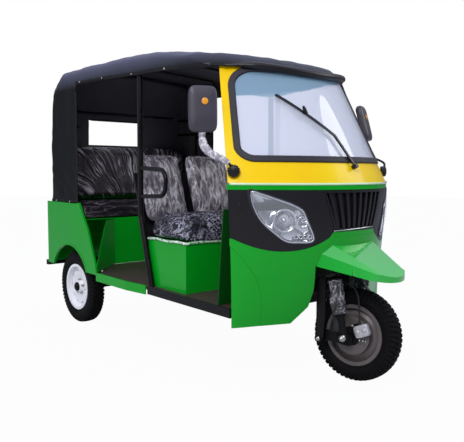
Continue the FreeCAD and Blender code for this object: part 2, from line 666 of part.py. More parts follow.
def makeRearBody():
    outer, wall = float(size.quarterOuter), float(size.quarterWall)
    rear, front = float(size.quarterRear), float(size.quarterFront)
    low, top = float(size.quarterFoot), float(size.quarterTop)
    arch = Part.makeCylinder(float(size.archRadius), 400,
                             Vector(float(size.archCentreX), 400, float(size.archCentreZ)), Vector(0, 1, 0))
    outline = [(rear, low), (front + 5, low), (front - 2, 450), (front - 110, 690), (160, 790), (112, 868),
               (60, top),
               (rear, top)]
    panel = prism("Y", outline, outer - wall, outer).cut(arch)
    lipOuter = Part.makeCylinder(float(size.archRadius) + float(size.archLip), float(size.archLipDepth),
                                 Vector(float(size.archCentreX), outer - wall, float(size.archCentreZ)),
                                 Vector(0, 1, 0))
    lip = lipOuter.cut(arch).common(block((rear + 4, 500, low), (front, 700, 800)))
    panel = joinedSolid([panel, lip])
    for side, name in ((-1, "quarter_right"), (1, "quarter_left")):
        addShape(name, mirrored(panel) if side < 0 else panel)
    inner = outer - wall
    gap = float(size.seatGap)
    tail = block((rear, -inner, float(size.floorTop - size.floorPlate) + gap),
                 (rear + wall, inner, float(size.canopyFoot) - gap))
    for side in (-1, 1):
        y = side * float(size.plateHoleSpacing) / 2
        tail = tail.cut(rod((rear - 20, y, 520), (rear + 40, y, 520), size.plateHoleRadius))
    addShape("tail_panel", tail)
    sheetWall = float(size.panelWall)
    bench, benchX = float(size.benchHalf), float(size.benchFront)
    floor, seat = float(size.floorTop), float(size.benchTop)

    outerLine = [(front - 4, -(inner - 1)), (benchX, -bench), (benchX, bench), (front - 4, inner - 1)]
    innerLine = [(front - 4 - sheetWall * 1.4, inner - 1), (benchX - sheetWall, bench),
                 (benchX - sheetWall, -bench),
                 (front - 4 - sheetWall * 1.4, -(inner - 1))]
    wallShape = prism("Z", outerLine + innerLine, floor + 0.5, seat)
    slope = prism("Y", [(front - 2, 440), (front - 112, 690), (160, 790), (600, 790), (600, 300),
                        (front + 5, 300)], -700, 700)
    wallShape = wallShape.cut(slope.cut(block((-500, -bench, 0), (700, bench, 1000))))
    shelf = block((rear + wall + 0.5, -(inner - 1), seat), (benchX, inner - 1, seat + 6))
    addShape("rear_bench", joinedSolid([wallShape, shelf]))


def cushionShape(low, high, radius):
    solid = block(low, high)
    return solid.makeFillet(radius, solid.Edges)


def makeSeats():
    seatBox = padBody("driver_seat_box", [(size.seatRear, size.floorTop), (size.seatFront, size.floorTop),
                                          (size.seatFront, size.seatTop), (size.seatRear, size.seatTop)],
                      "XZ_Plane", size.seatHalf * 2, Placement(Vector(-originX, 0, 0), Rotation()))
    bind(seatBox, "Placement.Base.x", -originX)
    gap = float(size.seatGap)
    base = float(size.seatTop) + gap
    far = (size.cushionFront, size.seatHalf + 2, base + size.cushionThickness)
    addShape("driver_cushion", cushionShape((size.cushionRear, -size.seatHalf - 2, base), far, 34))
    lean = Rotation(Vector(0, 1, 0), -float(size.backRecline))
    foot = Vector(float(size.cushionRear) - 6, 0, base + float(size.cushionThickness) - 40)
    pads = []
    centre, side, space = float(size.centrePadWidth) / 2, float(size.sidePadWidth), float(size.padSpacing)
    spans = [(-centre - space - side, -centre - space), (-centre, centre),
             (centre + space, centre + space + side)]
    for low, high in spans:
        pad = cushionShape((-float(size.padThickness), low, 0), (0, high, size.backHeight), 26)
        pad.Placement = Placement(foot, lean)
        pads.append(pad)
    addShape("driver_back_pads", Part.makeCompound(pads))
    board = block((-float(size.padThickness) - 12.3, -centre - space - side, -150),
                  (-float(size.padThickness) - gap, centre + space + side, float(size.backHeight) - 60))
    board.Placement = Placement(foot, lean)
    rearFace = float(size.seatRear) - gap
    ties = [block((838, y - 20, 630), (rearFace, y + 20, 660)) for y in (-300, 300)]
    addShape("driver_back_board", joinedSolid([board] + ties))
    bench = float(size.benchTop) + 6 + gap
    rear = float(size.quarterRear) + float(size.quarterWall)
    far = (size.benchFront + 22, 595, bench + size.benchCushionThickness)
    addShape("rear_cushion", cushionShape((rear + 70, -595, bench), far, 30))
    back = cushionShape((0, -585, 0), (82, 585, 425), 30)
    back.Placement = Placement(Vector(rear + 62, 0, bench + float(size.benchCushionThickness) + 9),
                               Rotation(Vector(0, 1, 0), -6))
    addShape("rear_back_pad", back)


# Wheels

def tyreOutline(radius, width, bead):
    half = width / 2
    return [(bead, -half * 0.78), (bead + 16, -half * 0.8), (bead + (radius - bead) * 0.45, -half),
            (radius - 22, -half * 0.93), (radius - 7, -half * 0.8), (radius, -half * 0.5),
            (radius, half * 0.5), (radius - 7, half * 0.8), (radius - 22, half * 0.93),
            (bead + (radius - bead) * 0.45, half), (bead + 16, half * 0.8), (bead, half * 0.78)]


def rimOutline(rim, width, bead, hub, bore, dish):
    """Barrel, flanges, dished disc and hub; dish holds the disc's offsets from the middle."""
    half = width / 2
    seat = bead - size.seatGap
    face = half * 0.8 + size.seatGap
    inner = seat - size.rimWall
    edge, ring, well = dish
    thick = 5
    return [(seat, -face), (rim, -face), (rim, -face - 4), (inner, -face - 4),
            (inner, edge - thick), (inner * 0.78, ring - thick), (inner * 0.6, ring - thick),
            (hub, well - thick),
            (hub, -face * 0.9), (bore, -face * 0.9), (bore, face * 0.9), (hub * 0.8, face * 0.9),
            (hub, well), (inner * 0.6, ring), (inner * 0.78, ring), (inner, edge),
            (inner, face + 4), (rim, face + 4), (rim, face), (seat, face)]


rake = math.radians(float(size.rakeAngle))
steerUp = Vector(-math.sin(rake), 0, math.cos(rake))


def steeredPlacement(axleHeight):
    """The park position: the fork turned left about the raked steering axis."""
    axle = Vector(float(size.wheelbase) - float(size.steerOffset), 0, axleHeight)
    turn = Placement(Vector(0, 0, 0), Rotation(steerUp, float(size.parkSteer)), axle)
    return Placement(Vector(-originX, 0, 0), Rotation()).multiply(turn)


def restingAxleHeight():
    """The front axle's height at which the turned tyre just touches the ground."""
    radius, half = float(size.frontTyreRadius), float(size.frontTyreWidth) / 2
    place = steeredPlacement(radius)
    centre = place.multVec(Vector(float(size.wheelbase), 0, radius))
    across = place.Rotation.multVec(Vector(0, 1, 0))
    lowest = centre.z - radius * math.sqrt(1 - across.z ** 2) - half * 0.5 * abs(across.z)
    return radius - lowest


frontAxleHeight = restingAxleHeight()
steered = steeredPlacement(frontAxleHeight)


def onSteerAxis(z):
    """The point of the steering axis at one height."""
    ahead = float(size.wheelbase) - float(size.steerOffset)
    return Vector(ahead - (z - frontAxleHeight) * math.tan(rake), 0, z)


def makeWheels():
    rearBead = size.rearRimRadius - size.beadDepth
    frontBead = size.frontRimRadius - size.beadDepth
    for side, name in ((-1, "right"), (1, "left")):
        turn = Rotation() if side > 0 else Rotation(Vector(0, 0, 1), 180)
        place = Placement(Vector(-originX, side * size.rearTrack / 2, size.rearTyreRadius), turn)
        revolveBody("rear_tyre_" + name, tyreOutline(size.rearTyreRadius, size.rearTyreWidth, rearBead),
                    place)
        revolveBody("rear_rim_" + name,
                    rimOutline(size.rearRimRadius, size.rearTyreWidth, rearBead, size.rearHubRadius,
                               size.spindleRadius + size.runningGap, (8, 22, 10)), place)
    hub = Placement(Vector(float(size.wheelbase), 0, frontAxleHeight), Rotation())
    place = steered.multiply(hub)
    revolveBody("front_tyre", tyreOutline(size.frontTyreRadius, size.frontTyreWidth, frontBead), place)
    revolveBody("front_rim", rimOutline(size.frontRimRadius, size.frontTyreWidth, frontBead,
                                        size.frontHubRadius,
                                        size.axleRadius + size.runningGap, (-12, -26, -20)), place)


leafShares = (0.42, 0.7, 1.0)


def leafPoint(low, reach, leavesUp):
    """A point of the spring's side view: every leaf is bowed about one centre, high above the axle."""
    bow = float(size.springBow)
    radius = bow - leavesUp * float(size.springLeaf)
    return Vector(reach, 0, low + bow - math.sqrt(radius * radius - reach * reach))


def leafOutline(low):
    """The side view of stepped leaves, the longest on top, as one closed wire."""
    edges = []
    ends = []
    for direction in (float(size.springEyeX), -float(size.springRearX)):
        steps = []
        for index, share in enumerate(leafShares):
            steps += [(direction * share, index), (direction * share, index + 1)]
        for (reach, level), (nextReach, nextLevel) in zip(steps, steps[1:]):
            first, last = leafPoint(low, reach, level), leafPoint(low, nextReach, nextLevel)
            if level == nextLevel:
                middle = leafPoint(low, (reach + nextReach) / 2, level)
                edges.append(Part.Arc(first, middle, last).toShape())
            else:
                edges.append(Part.LineSegment(first, last).toShape())
        ends.append((steps[0], steps[-1]))
    for front, back in zip(*ends):
        level = front[1]
        edges.append(Part.Arc(leafPoint(low, front[0], level), leafPoint(low, 0, level),
                              leafPoint(low, back[0], level)).toShape())
    return Part.Wire(Part.__sortEdges__(edges))


def makeRunningGear():
    radius, spindle = float(size.axleTubeRadius), float(size.spindleRadius)
    height, track = float(size.rearTyreRadius), float(size.rearTrack) / 2
    face = float(size.rearTyreWidth) / 2 * 0.8
    tubeEnd = track - face - 22
    tube = rod((0, -tubeEnd, height), (0, tubeEnd, height), radius)
    spindleEnd = track + face + 4
    pin = rod((0, -spindleEnd, height), (0, spindleEnd, height), spindle)
    drums = [rod((0, s * (tubeEnd - 12), height), (0, s * tubeEnd, height), size.drumRadius)
             for s in (-1, 1)]
    nuts = [rod((0, s * (spindleEnd - 3), height), (0, s * (spindleEnd + 8), height), 22) for s in (-1, 1)]
    bowl = Part.makeSphere(size.bowlRadius, Vector(0, 0, height))
    addShape("rear_axle", joinedSolid([tube, pin, bowl] + drums + nuts))
    motor = Part.makeCylinder(float(size.motorRadius), float(size.motorLength),
                              Vector(float(size.bowlRadius + size.seatGap), 0, height), Vector(1, 0, 0))
    addShape("drive_motor", motor)
    springLow = height + radius + float(size.seatGap)
    half, width = float(size.springHalf), float(size.springWidth) / 2
    outerRail = float(size.railSpread) / 2 + float(size.railWidth) / 2 + float(size.seatGap)
    leaves = Part.Face(leafOutline(springLow)).extrude(Vector(0, 2 * width, 0))
    leaves.translate(Vector(0, half - width, 0))
    pieces = [leaves]
    eyeRadius = float(size.springEyeRadius)
    for x in (float(size.springEyeX) - 2, -float(size.springRearX) + 2):
        eyeZ = leafPoint(springLow, x, 2.5).z
        pieces.append(rod((x, outerRail, eyeZ), (x, half + width + 1, eyeZ), eyeRadius))
        pieces.append(block((x - 18, outerRail, eyeZ - eyeRadius),
                            (x + 18, outerRail + 10, size.floorTop - 12)))
    addShape("leaf_springs", bothSides(joinedSolid(pieces)))
    rear = float(size.bumperRear)
    bar = block((rear, -600, 360), (float(size.railRear), 600, 397))
    lug = block((rear, -6, 318), (float(size.railRear), 6, 361))
    eye = rod((rear + 20, -30, 338), (rear + 20, 30, 338), size.towEyeRadius)
    addShape("rear_bumper", joinedSolid([bar, lug]).cut(eye))
    lamp = block((float(size.quarterRear) - 28, 470, 560), (float(size.quarterRear) - 0.3, 590, 690))
    lamp = lamp.makeFillet(8, lamp.Edges)
    addShape("tail_lamps", bothSides(lamp))


def makeSteering():
    crownZ, barZ = float(size.crownZ), float(size.barZ)
    crownPoint, barPoint = onSteerAxis(crownZ), onSteerAxis(barZ)
    forward = Vector(math.cos(rake), 0, math.sin(rake))
    gap = float(size.seatGap)
    half = float(size.forkHalf)
    plate = float(size.crownThickness) / 2
    stem = Part.makeCylinder(float(size.stemRadius), (barPoint - crownPoint).Length, crownPoint, steerUp)

    shockAt, shockY = float(size.shockAhead), float(size.shockHalf)

    def crownBlock(grow):
        margin = float(size.crownCorner) + grow
        shape = block((-40 - grow, -shockY - margin, -plate - grow),
                      (shockAt + margin, shockY + margin, plate + grow))
        upright = [edge for edge in shape.Edges if abs(edge.tangentAt(edge.FirstParameter).z) > 0.99]
        shape = shape.makeFillet(float(size.crownCorner), upright)
        shape.Placement = Placement(crownPoint, Rotation(Vector(0, 1, 0), -float(size.rakeAngle)))
        return shape

    addShape("steering_stem", joinedSolid([stem, crownBlock(0)]), steered)
    pivot = Vector(float(size.pivotX), 0, float(size.pivotZ))
    legs = []
    for side in (-1, 1):
        y = side * half
        leg = rod((crownPoint.x - 4, y, crownZ), (pivot.x, y, pivot.z), size.legRadius).cut(crownBlock(gap))
        leg = sorted(leg.Solids, key=lambda solid: solid.Volume)[-1]
        boss = rod((pivot.x, y - 12, pivot.z), (pivot.x, y + 20, pivot.z), 22)
        legs.append(joinedSolid([leg, boss]))
    addShape("fork_legs", Part.makeCompound(legs), steered)
    hub = Vector(float(size.wheelbase), 0, frontAxleHeight)
    pinRadius = float(size.linkPinRadius)
    links = []
    for side in (-1, 1):
        inner, outer = side * (half - 34), side * (half - 20.5)
        arm = prism("Y", [(pivot.x, pivot.z - 20), (hub.x, hub.z - 17), (hub.x, hub.z + 17),
                          (pivot.x, pivot.z + 20)],
                    min(inner, outer), max(inner, outer))
        ends = [rod((p.x, inner, p.z), (p.x, outer, p.z), r) for p, r in ((pivot, 21), (hub, 21))]
        pin = rod((hub.x, outer, hub.z), (hub.x, side * (shockY + 16), hub.z), pinRadius)
        links.append(joinedSolid([arm] + ends + [pin]))
    addShape("fork_links", Part.makeCompound(links), steered)
    axle = rod((hub.x, -half + 34 + gap, hub.z), (hub.x, half - 34 - gap, hub.z), size.axleRadius)
    addShape("front_axle", axle, steered)
    shocks = []
    for side in (-1, 1):
        low = hub + Vector(0, side * shockY, 0)
        top = crownPoint + forward * shockAt - steerUp * plate + Vector(0, side * shockY, 0)
        along = (top - low).normalize()
        span = (top - low).Length
        spring = rod(low + along * span * 0.4, top + along * plate / 2, size.shockRadius)
        tube = rod(low, low + along * span * 0.5, 20)
        eye = rod((low.x, low.y - 12, low.z), (low.x, low.y + 12, low.z), 21)
        bore = rod((low.x, low.y - 30, low.z), (low.x, low.y + 30, low.z), pinRadius + gap)
        shocks.append(joinedSolid([spring, tube, eye]).cut(bore).cut(crownBlock(gap)))
    addShape("fork_shocks", Part.makeCompound(shocks), steered)
    width = float(size.barHalf)
    barX = barPoint.x
    bar = bentTube([(barX - 80, -width, barZ - 20), (barX - 45, -width * 0.5, barZ + 12),
                    (barX - 6, -60, barZ + 18), (barX - 6, 60, barZ + 18),
                    (barX - 45, width * 0.5, barZ + 12), (barX - 80, width, barZ - 20)], size.barRadius, 40)
    clamp = Part.makeCylinder(26, 34, barPoint + steerUp * gap, steerUp)
    addShape("handlebar", joinedSolid([bar, clamp]), steered)


def makeHeadTube():
    low, high = onSteerAxis(float(size.headLowZ)), onSteerAxis(float(size.headHighZ))
    length = (high - low).Length
    tube = Part.makeCylinder(float(size.headRadius), length, low, steerUp)
    bore = Part.makeCylinder(float(size.stemRadius) + float(size.runningGap), length + 20,
                             low - steerUp * 10, steerUp)
    neckRear = float(size.railFront) - 40
    beam = block((neckRear, -26, 700), (onSteerAxis(735).x - 5, 26, 760))
    post = block((neckRear, -26, float(size.floorTop + size.seatGap)), (neckRear + 50, 26, 760))
    addShape("steering_head", joinedSolid([tube, beam, post]).cut(bore))


def makeCab():
    gap = float(size.seatGap)
    floor = float(size.floorTop)
    toe = prism("Y", [(1610, floor + gap), (1616, floor + gap), (1656, 905), (1650, 905)], -588, 588)
    addShape("toe_board", toe)
    shelf = prism("Z", [(1600, -700), (noseFar, -700), (noseFar, 700), (1600, 700)], 905 + gap, 933)
    shelf = shelf.common(lowerSkin(30, 300)).common(block((1500, -590, 800), (noseFar, 590, 1000)))
    hole = Part.makeCylinder(46, 200, Vector(1744, 0, 850), Vector(0, 0, 1))
    shelf = shelf.cut(hole)
    pod = prism("Y", [(1800, 930), (1880, 930), (1880, 960), (1824, 996), (1800, 980)], -120, 120)
    addShape("dashboard", joinedSolid([shelf, pod]))


def makeMirrors():
    width, height, depth = float(size.mirrorWidth), float(size.mirrorHeight), float(size.mirrorDepth)
    for side, name, x in ((-1, "right", 1593), (1, "left", 1545)):
        y = side * float(size.mirrorHalf)
        z = float(size.mirrorZ)
        head = block((x - depth / 2, y - width / 2, z - height / 2),
                     (x + depth / 2, y + width / 2, z + height / 2))
        edges = [e for e in head.Edges if abs(e.tangentAt(e.FirstParameter).x) > 0.99]
        head = head.makeFillet(32, edges)
        base = Vector(1742, side * 600, 1099)
        arm = bentTube([(base.x, base.y, base.z), (base.x + 6, side * 648, base.z + 34),
                        (x, side * 668, z - height / 2 - 20), (x, side * 668, z - height / 2 + 6)], 7, 20)
        outward = Vector(0.73, side * 0.68, 0)
        knob = rod(base - outward * 30, base + outward * 16, size.knobRadius)
        whole = joinedSolid([head, arm, knob]).cut(upperSkin(-float(size.seatGap), 60))
        solids = sorted(whole.Solids, key=lambda solid: solid.Volume)
        addShape("mirror_" + name, solids[-1])


def makeWiper():
    """A blade that rests across the glass and an arm from its lower end to the pivot."""
    gap = float(size.seatGap)
    skin = upperSkin(-24).cut(upperSkin(-12, 60))
    outline = [(-306, 1488), (-299, 1497), (-22, 1293), (60, 1131), (49, 1125), (-31, 1283)]
    blade = skin.common(prism("X", outline, 1400, noseFar))
    solids = sorted(blade.Solids, key=lambda solid: solid.Volume)
    boss = rod((1930, 54, 1110), (1986, 54, 1131), 12).cut(upperSkin(-gap, 60))
    bosses = sorted(boss.Solids, key=lambda solid: solid.Volume)
    addShape("wiper", joinedSolid([solids[-1], bosses[-1]]))


makeNose()
makeGrille()
makeScreen()
makeBeak()
makeCanopy()
makePillars()
makeFloorAndFrame()
makeRearBody()
makeSeats()
makeWheels()
makeRunningGear()
makeSteering()
makeHeadTube()
makeCab()
makeMirrors()
makeWiper()

doc.recompute()
troubled = [thing.Name for thing in doc.Objects if {"Invalid", "Error"} & set(thing.State)]
troubled += [thing.Label for thing in subparts if thing.Shape.isNull() or not thing.Shape.isValid()]
if troubled:
    raise ValueError("these did not build: " + ", ".join(troubled))
os.makedirs("parts", exist_ok=True)
for thing in subparts:
    thing.Shape.exportStep("parts/{}.step".format(thing.Label))
for thing in subparts:
    box = thing.Shape.BoundBox
    print("{:22s} solids {:2d} volume {:10.0f} x {:7.1f} {:7.1f} y {:7.1f} {:7.1f} z {:7.1f} {:7.1f}".format(
        thing.Label, len(thing.Shape.Solids), thing.Shape.Volume, box.XMin, box.XMax, box.YMin, box.YMax,
        box.ZMin, box.ZMax))
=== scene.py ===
import json
import math

import bmesh
import bpy
import numpy as np
from mathutils import Matrix, Vector


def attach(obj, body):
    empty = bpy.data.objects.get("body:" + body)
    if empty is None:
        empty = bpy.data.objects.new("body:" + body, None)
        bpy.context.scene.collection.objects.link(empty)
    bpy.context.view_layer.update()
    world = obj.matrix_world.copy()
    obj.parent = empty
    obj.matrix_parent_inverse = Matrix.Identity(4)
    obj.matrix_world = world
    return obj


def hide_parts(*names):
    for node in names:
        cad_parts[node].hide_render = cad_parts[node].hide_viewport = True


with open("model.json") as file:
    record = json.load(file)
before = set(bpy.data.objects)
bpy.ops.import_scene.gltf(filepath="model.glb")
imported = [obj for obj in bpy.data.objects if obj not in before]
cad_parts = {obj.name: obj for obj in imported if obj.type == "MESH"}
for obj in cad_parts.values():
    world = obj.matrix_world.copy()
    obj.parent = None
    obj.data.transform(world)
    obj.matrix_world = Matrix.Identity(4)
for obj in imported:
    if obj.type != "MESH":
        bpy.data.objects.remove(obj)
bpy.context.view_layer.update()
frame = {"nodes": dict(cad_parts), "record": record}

# An auto rickshaw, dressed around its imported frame. Lengths below are in millimetres in the
# axle frame: X forward from the rear axle, Y to the vehicle's left, Z up from the ground.
rearShift = 897.5       # the frame's origin is this far ahead of the rear axle


def toRow(points):
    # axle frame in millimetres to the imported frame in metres
    return (np.asarray(points, float) - (rearShift, 0.0, 0.0)) / 1000.0


joints = {joint["name"]: joint for joint in frame["record"]["behaviour"]["joints"]}
steering = {"turned": 11.5, "wheelAhead": 61.0,
            "point": np.array(joints["steer"]["pos_m"]) * 1000 + (rearShift, 0, 0),
            "axis": np.array(joints["steer"]["axis"])}
frontHub = steering["point"] + (steering["wheelAhead"], 0, 0)      # before the fork is turned
sides = ((-1, "right"), (1, "left"))      # the sign of Y and the word for each side


def steered(points):
    # turns points about the raked steering axis by the parked angle (Rodrigues' formula)
    turn, k = math.radians(steering["turned"]), steering["axis"]
    p = np.asarray(points, float) - steering["point"]
    turned = (p * math.cos(turn) + np.cross(np.broadcast_to(k, p.shape), p) * math.sin(turn)
              + np.outer(p.reshape(-1, 3) @ k, k).reshape(p.shape) * (1 - math.cos(turn)))
    return turned + steering["point"]


# camera, light and floor

# solved from the photograph: metres, degrees, and the focal length in the photograph's pixels
camera = {"place": (3.1085, -2.524, 1.109), "heading": 139.71, "pitch": -4.92, "roll": 0.33,
          "focalPixels": 604.4, "imageWidth": 464, "sensor": 36.0}


def makeCamera():
    # the view's direction with its right and its up, both turned by the roll, are the camera's axes
    yaw, pitch, roll = (math.radians(camera[k]) for k in ("heading", "pitch", "roll"))
    ahead = Vector((math.cos(yaw) * math.cos(pitch), math.sin(yaw) * math.cos(pitch), math.sin(pitch)))
    right = Vector((math.sin(yaw), -math.cos(yaw), 0))
    up = right.cross(ahead)
    rightRolled = right * math.cos(roll) + up * math.sin(roll)
    upRolled = up * math.cos(roll) - right * math.sin(roll)
    data = bpy.data.cameras.new("photoCamera")
    data.sensor_width = camera["sensor"]
    data.lens = camera["sensor"] * camera["focalPixels"] / camera["imageWidth"]
    data.clip_end = 60
    lens = bpy.data.objects.new("photoCamera", data)
    lens.matrix_world = Matrix.Translation(camera["place"]) @ Matrix(
        (rightRolled, upRolled, -ahead)).transposed().to_4x4()
    bpy.context.scene.collection.objects.link(lens)
    bpy.context.scene.camera = lens


# each lamp has its place, what it faces, its width in metres and its power in watts
studio = {"key": ((3.0, -3.4, 3.8), (0.3, 0.0, 0.6), 2.2, 118.0),
          "fill": ((-2.5, -4.5, 1.6), (-0.3, 0.0, 0.6), 2.6, 30.0),
          "rim": ((2.6, 3.2, 3.0), (0.0, 0.0, 0.9), 2.0, 34.0),
          "skyTop": 1.35, "skySide": 0.18, "skyFrom": 0.15, "skyTo": 0.95, "skyColour": "#E6ECFF",
          "floorColour": "#B9B9BB", "floorGlow": 0.965, "floorHalf": 20}


def hexColour(code):
    # sRGB hex to linear: below 0.04045 divide by 12.92, above it ((c + 0.055) / 1.055) ^ 2.4
    parts = [int(code[i:i + 2], 16) / 255 for i in (1, 3, 5)]
    return [c / 12.92 if c <= 0.04045 else ((c + 0.055) / 1.055) ** 2.4 for c in parts] + [1.0]


def put(tree, kind, settings=None, **links):
    # adds one shader node, sets its fields and input values, and links sockets into it
    made = tree.nodes.new(kind)
    for key, value in (settings or {}).items():
        if hasattr(made, key):
            setattr(made, key, value)
        else:
            made.inputs[int(key) if key.isdigit() else key].default_value = value
    for key, source in links.items():
        target = made.inputs[int(key[1:]) if key[0] == "i" and key[1:].isdigit() else key.replace("_", " ")]
        tree.links.new(source, target)
    return made


def newMaterial(name):
    # an empty material, its node tree and its shader
    made = bpy.data.materials.new(name)
    made.use_nodes = True
    return made, made.node_tree, made.node_tree.nodes["Principled BSDF"]


def setInputs(shader, values):
    # writes fixed values into a shader's inputs
    for key, value in values.items():
        shader.inputs[key].default_value = value


def makeStage():
    # a sky brighter overhead and white to the camera, three disc lamps, a floor that keeps the shadow
    world = bpy.data.worlds.new("studioWorld")
    bpy.context.scene.world = world
    world.use_nodes = True
    tree = world.node_tree
    tree.nodes.clear()
    path = put(tree, "ShaderNodeLightPath")
    place = put(tree, "ShaderNodeTexCoord")
    split = put(tree, "ShaderNodeSeparateXYZ", Vector=place.outputs["Generated"])
    lift = put(tree, "ShaderNodeMapRange",
               {"From Min": studio["skyFrom"], "From Max": studio["skyTo"],
                "To Min": studio["skySide"], "To Max": studio["skyTop"]}, Value=split.outputs["Z"])
    sky = put(tree, "ShaderNodeBackground", {"Color": hexColour(studio["skyColour"])},
              Strength=lift.outputs["Result"])
    white = put(tree, "ShaderNodeBackground", {"Color": (1, 1, 1, 1), "Strength": 1.0})
    mix = put(tree, "ShaderNodeMixShader", None, i0=path.outputs["Is Camera Ray"], i1=sky.outputs[0],
              i2=white.outputs[0])
    put(tree, "ShaderNodeOutputWorld", None, Surface=mix.outputs[0])
    for name in ("key", "fill", "rim"):
        place, target, width, power = studio[name]
        data = bpy.data.lights.new(name + "Light", "AREA")
        data.shape, data.size, data.energy = "DISK", width, power
        lamp = bpy.data.objects.new(name + "Light", data)
        lamp.location = place
        lamp.rotation_euler = (Vector(target) - Vector(place)).to_track_quat("-Z", "Y").to_euler()
        bpy.context.scene.collection.objects.link(lamp)
    mesh = bpy.data.meshes.new("studioFloor")
    half = studio["floorHalf"]
    corners = [(-half, -half, 0), (half, -half, 0), (half, half, 0), (-half, half, 0)]
    mesh.from_pydata(corners, [], [(0, 1, 2, 3)])
    floor = bpy.data.objects.new("studioFloor", mesh)
    bpy.context.scene.collection.objects.link(floor)
    paint, tree, shader = newMaterial("paleFloor")
    setInputs(shader, {"Base Color": hexColour(studio["floorColour"]), "Roughness": 0.9})
    path = put(tree, "ShaderNodeLightPath")
    glow = put(tree, "ShaderNodeEmission", {"Color": (1, 1, 1, 1), "Strength": 1.0})
    share = put(tree, "ShaderNodeMath", {"operation": "MULTIPLY", "1": studio["floorGlow"]},
                i0=path.outputs["Is Camera Ray"])
    mix = put(tree, "ShaderNodeMixShader", None, i0=share.outputs[0], i1=shader.outputs[0],
              i2=glow.outputs[0])
    tree.links.new(mix.outputs[0], tree.nodes["Material Output"].inputs["Surface"])
    mesh.materials.append(paint)
    bpy.context.scene.view_settings.view_transform = "Standard"


makeCamera()
makeStage()
print("camera, lights and floor are in place")


# materials

def finish(name, tones, roughness, patch, grain, grainHeight, others=()):
    # a surface whose tone and gloss drift over patch mm, with a fine relief of grain mm
    made, tree, shader = newMaterial(name)
    place = put(tree, "ShaderNodeTexCoord").outputs["Object"]
    drift = put(tree, "ShaderNodeTexNoise", {"Scale": 1000 / patch, "Detail": 4.0, "Roughness": 0.55},
                Vector=place)
    tone = put(tree, "ShaderNodeMix", {"data_type": "RGBA", "6": hexColour(tones[0]),
                                       "7": hexColour(tones[1])}, i0=drift.outputs["Fac"])
    tree.links.new(tone.outputs[2], shader.inputs["Base Color"])
    gloss = put(tree, "ShaderNodeMapRange", {"From Min": 0.3, "From Max": 0.7, "To Min": roughness[0],
                                             "To Max": roughness[1]}, Value=drift.outputs["Fac"])
    tree.links.new(gloss.outputs["Result"], shader.inputs["Roughness"])
    fine = put(tree, "ShaderNodeTexNoise", {"Scale": 1000 / grain, "Detail": 2.0}, Vector=place)
    relief = put(tree, "ShaderNodeBump", {"Strength": 0.6, "Distance": grainHeight / 1000},
                 Height=fine.outputs["Fac"])
    tree.links.new(relief.outputs["Normal"], shader.inputs["Normal"])
    setInputs(shader, dict(others))
    return made


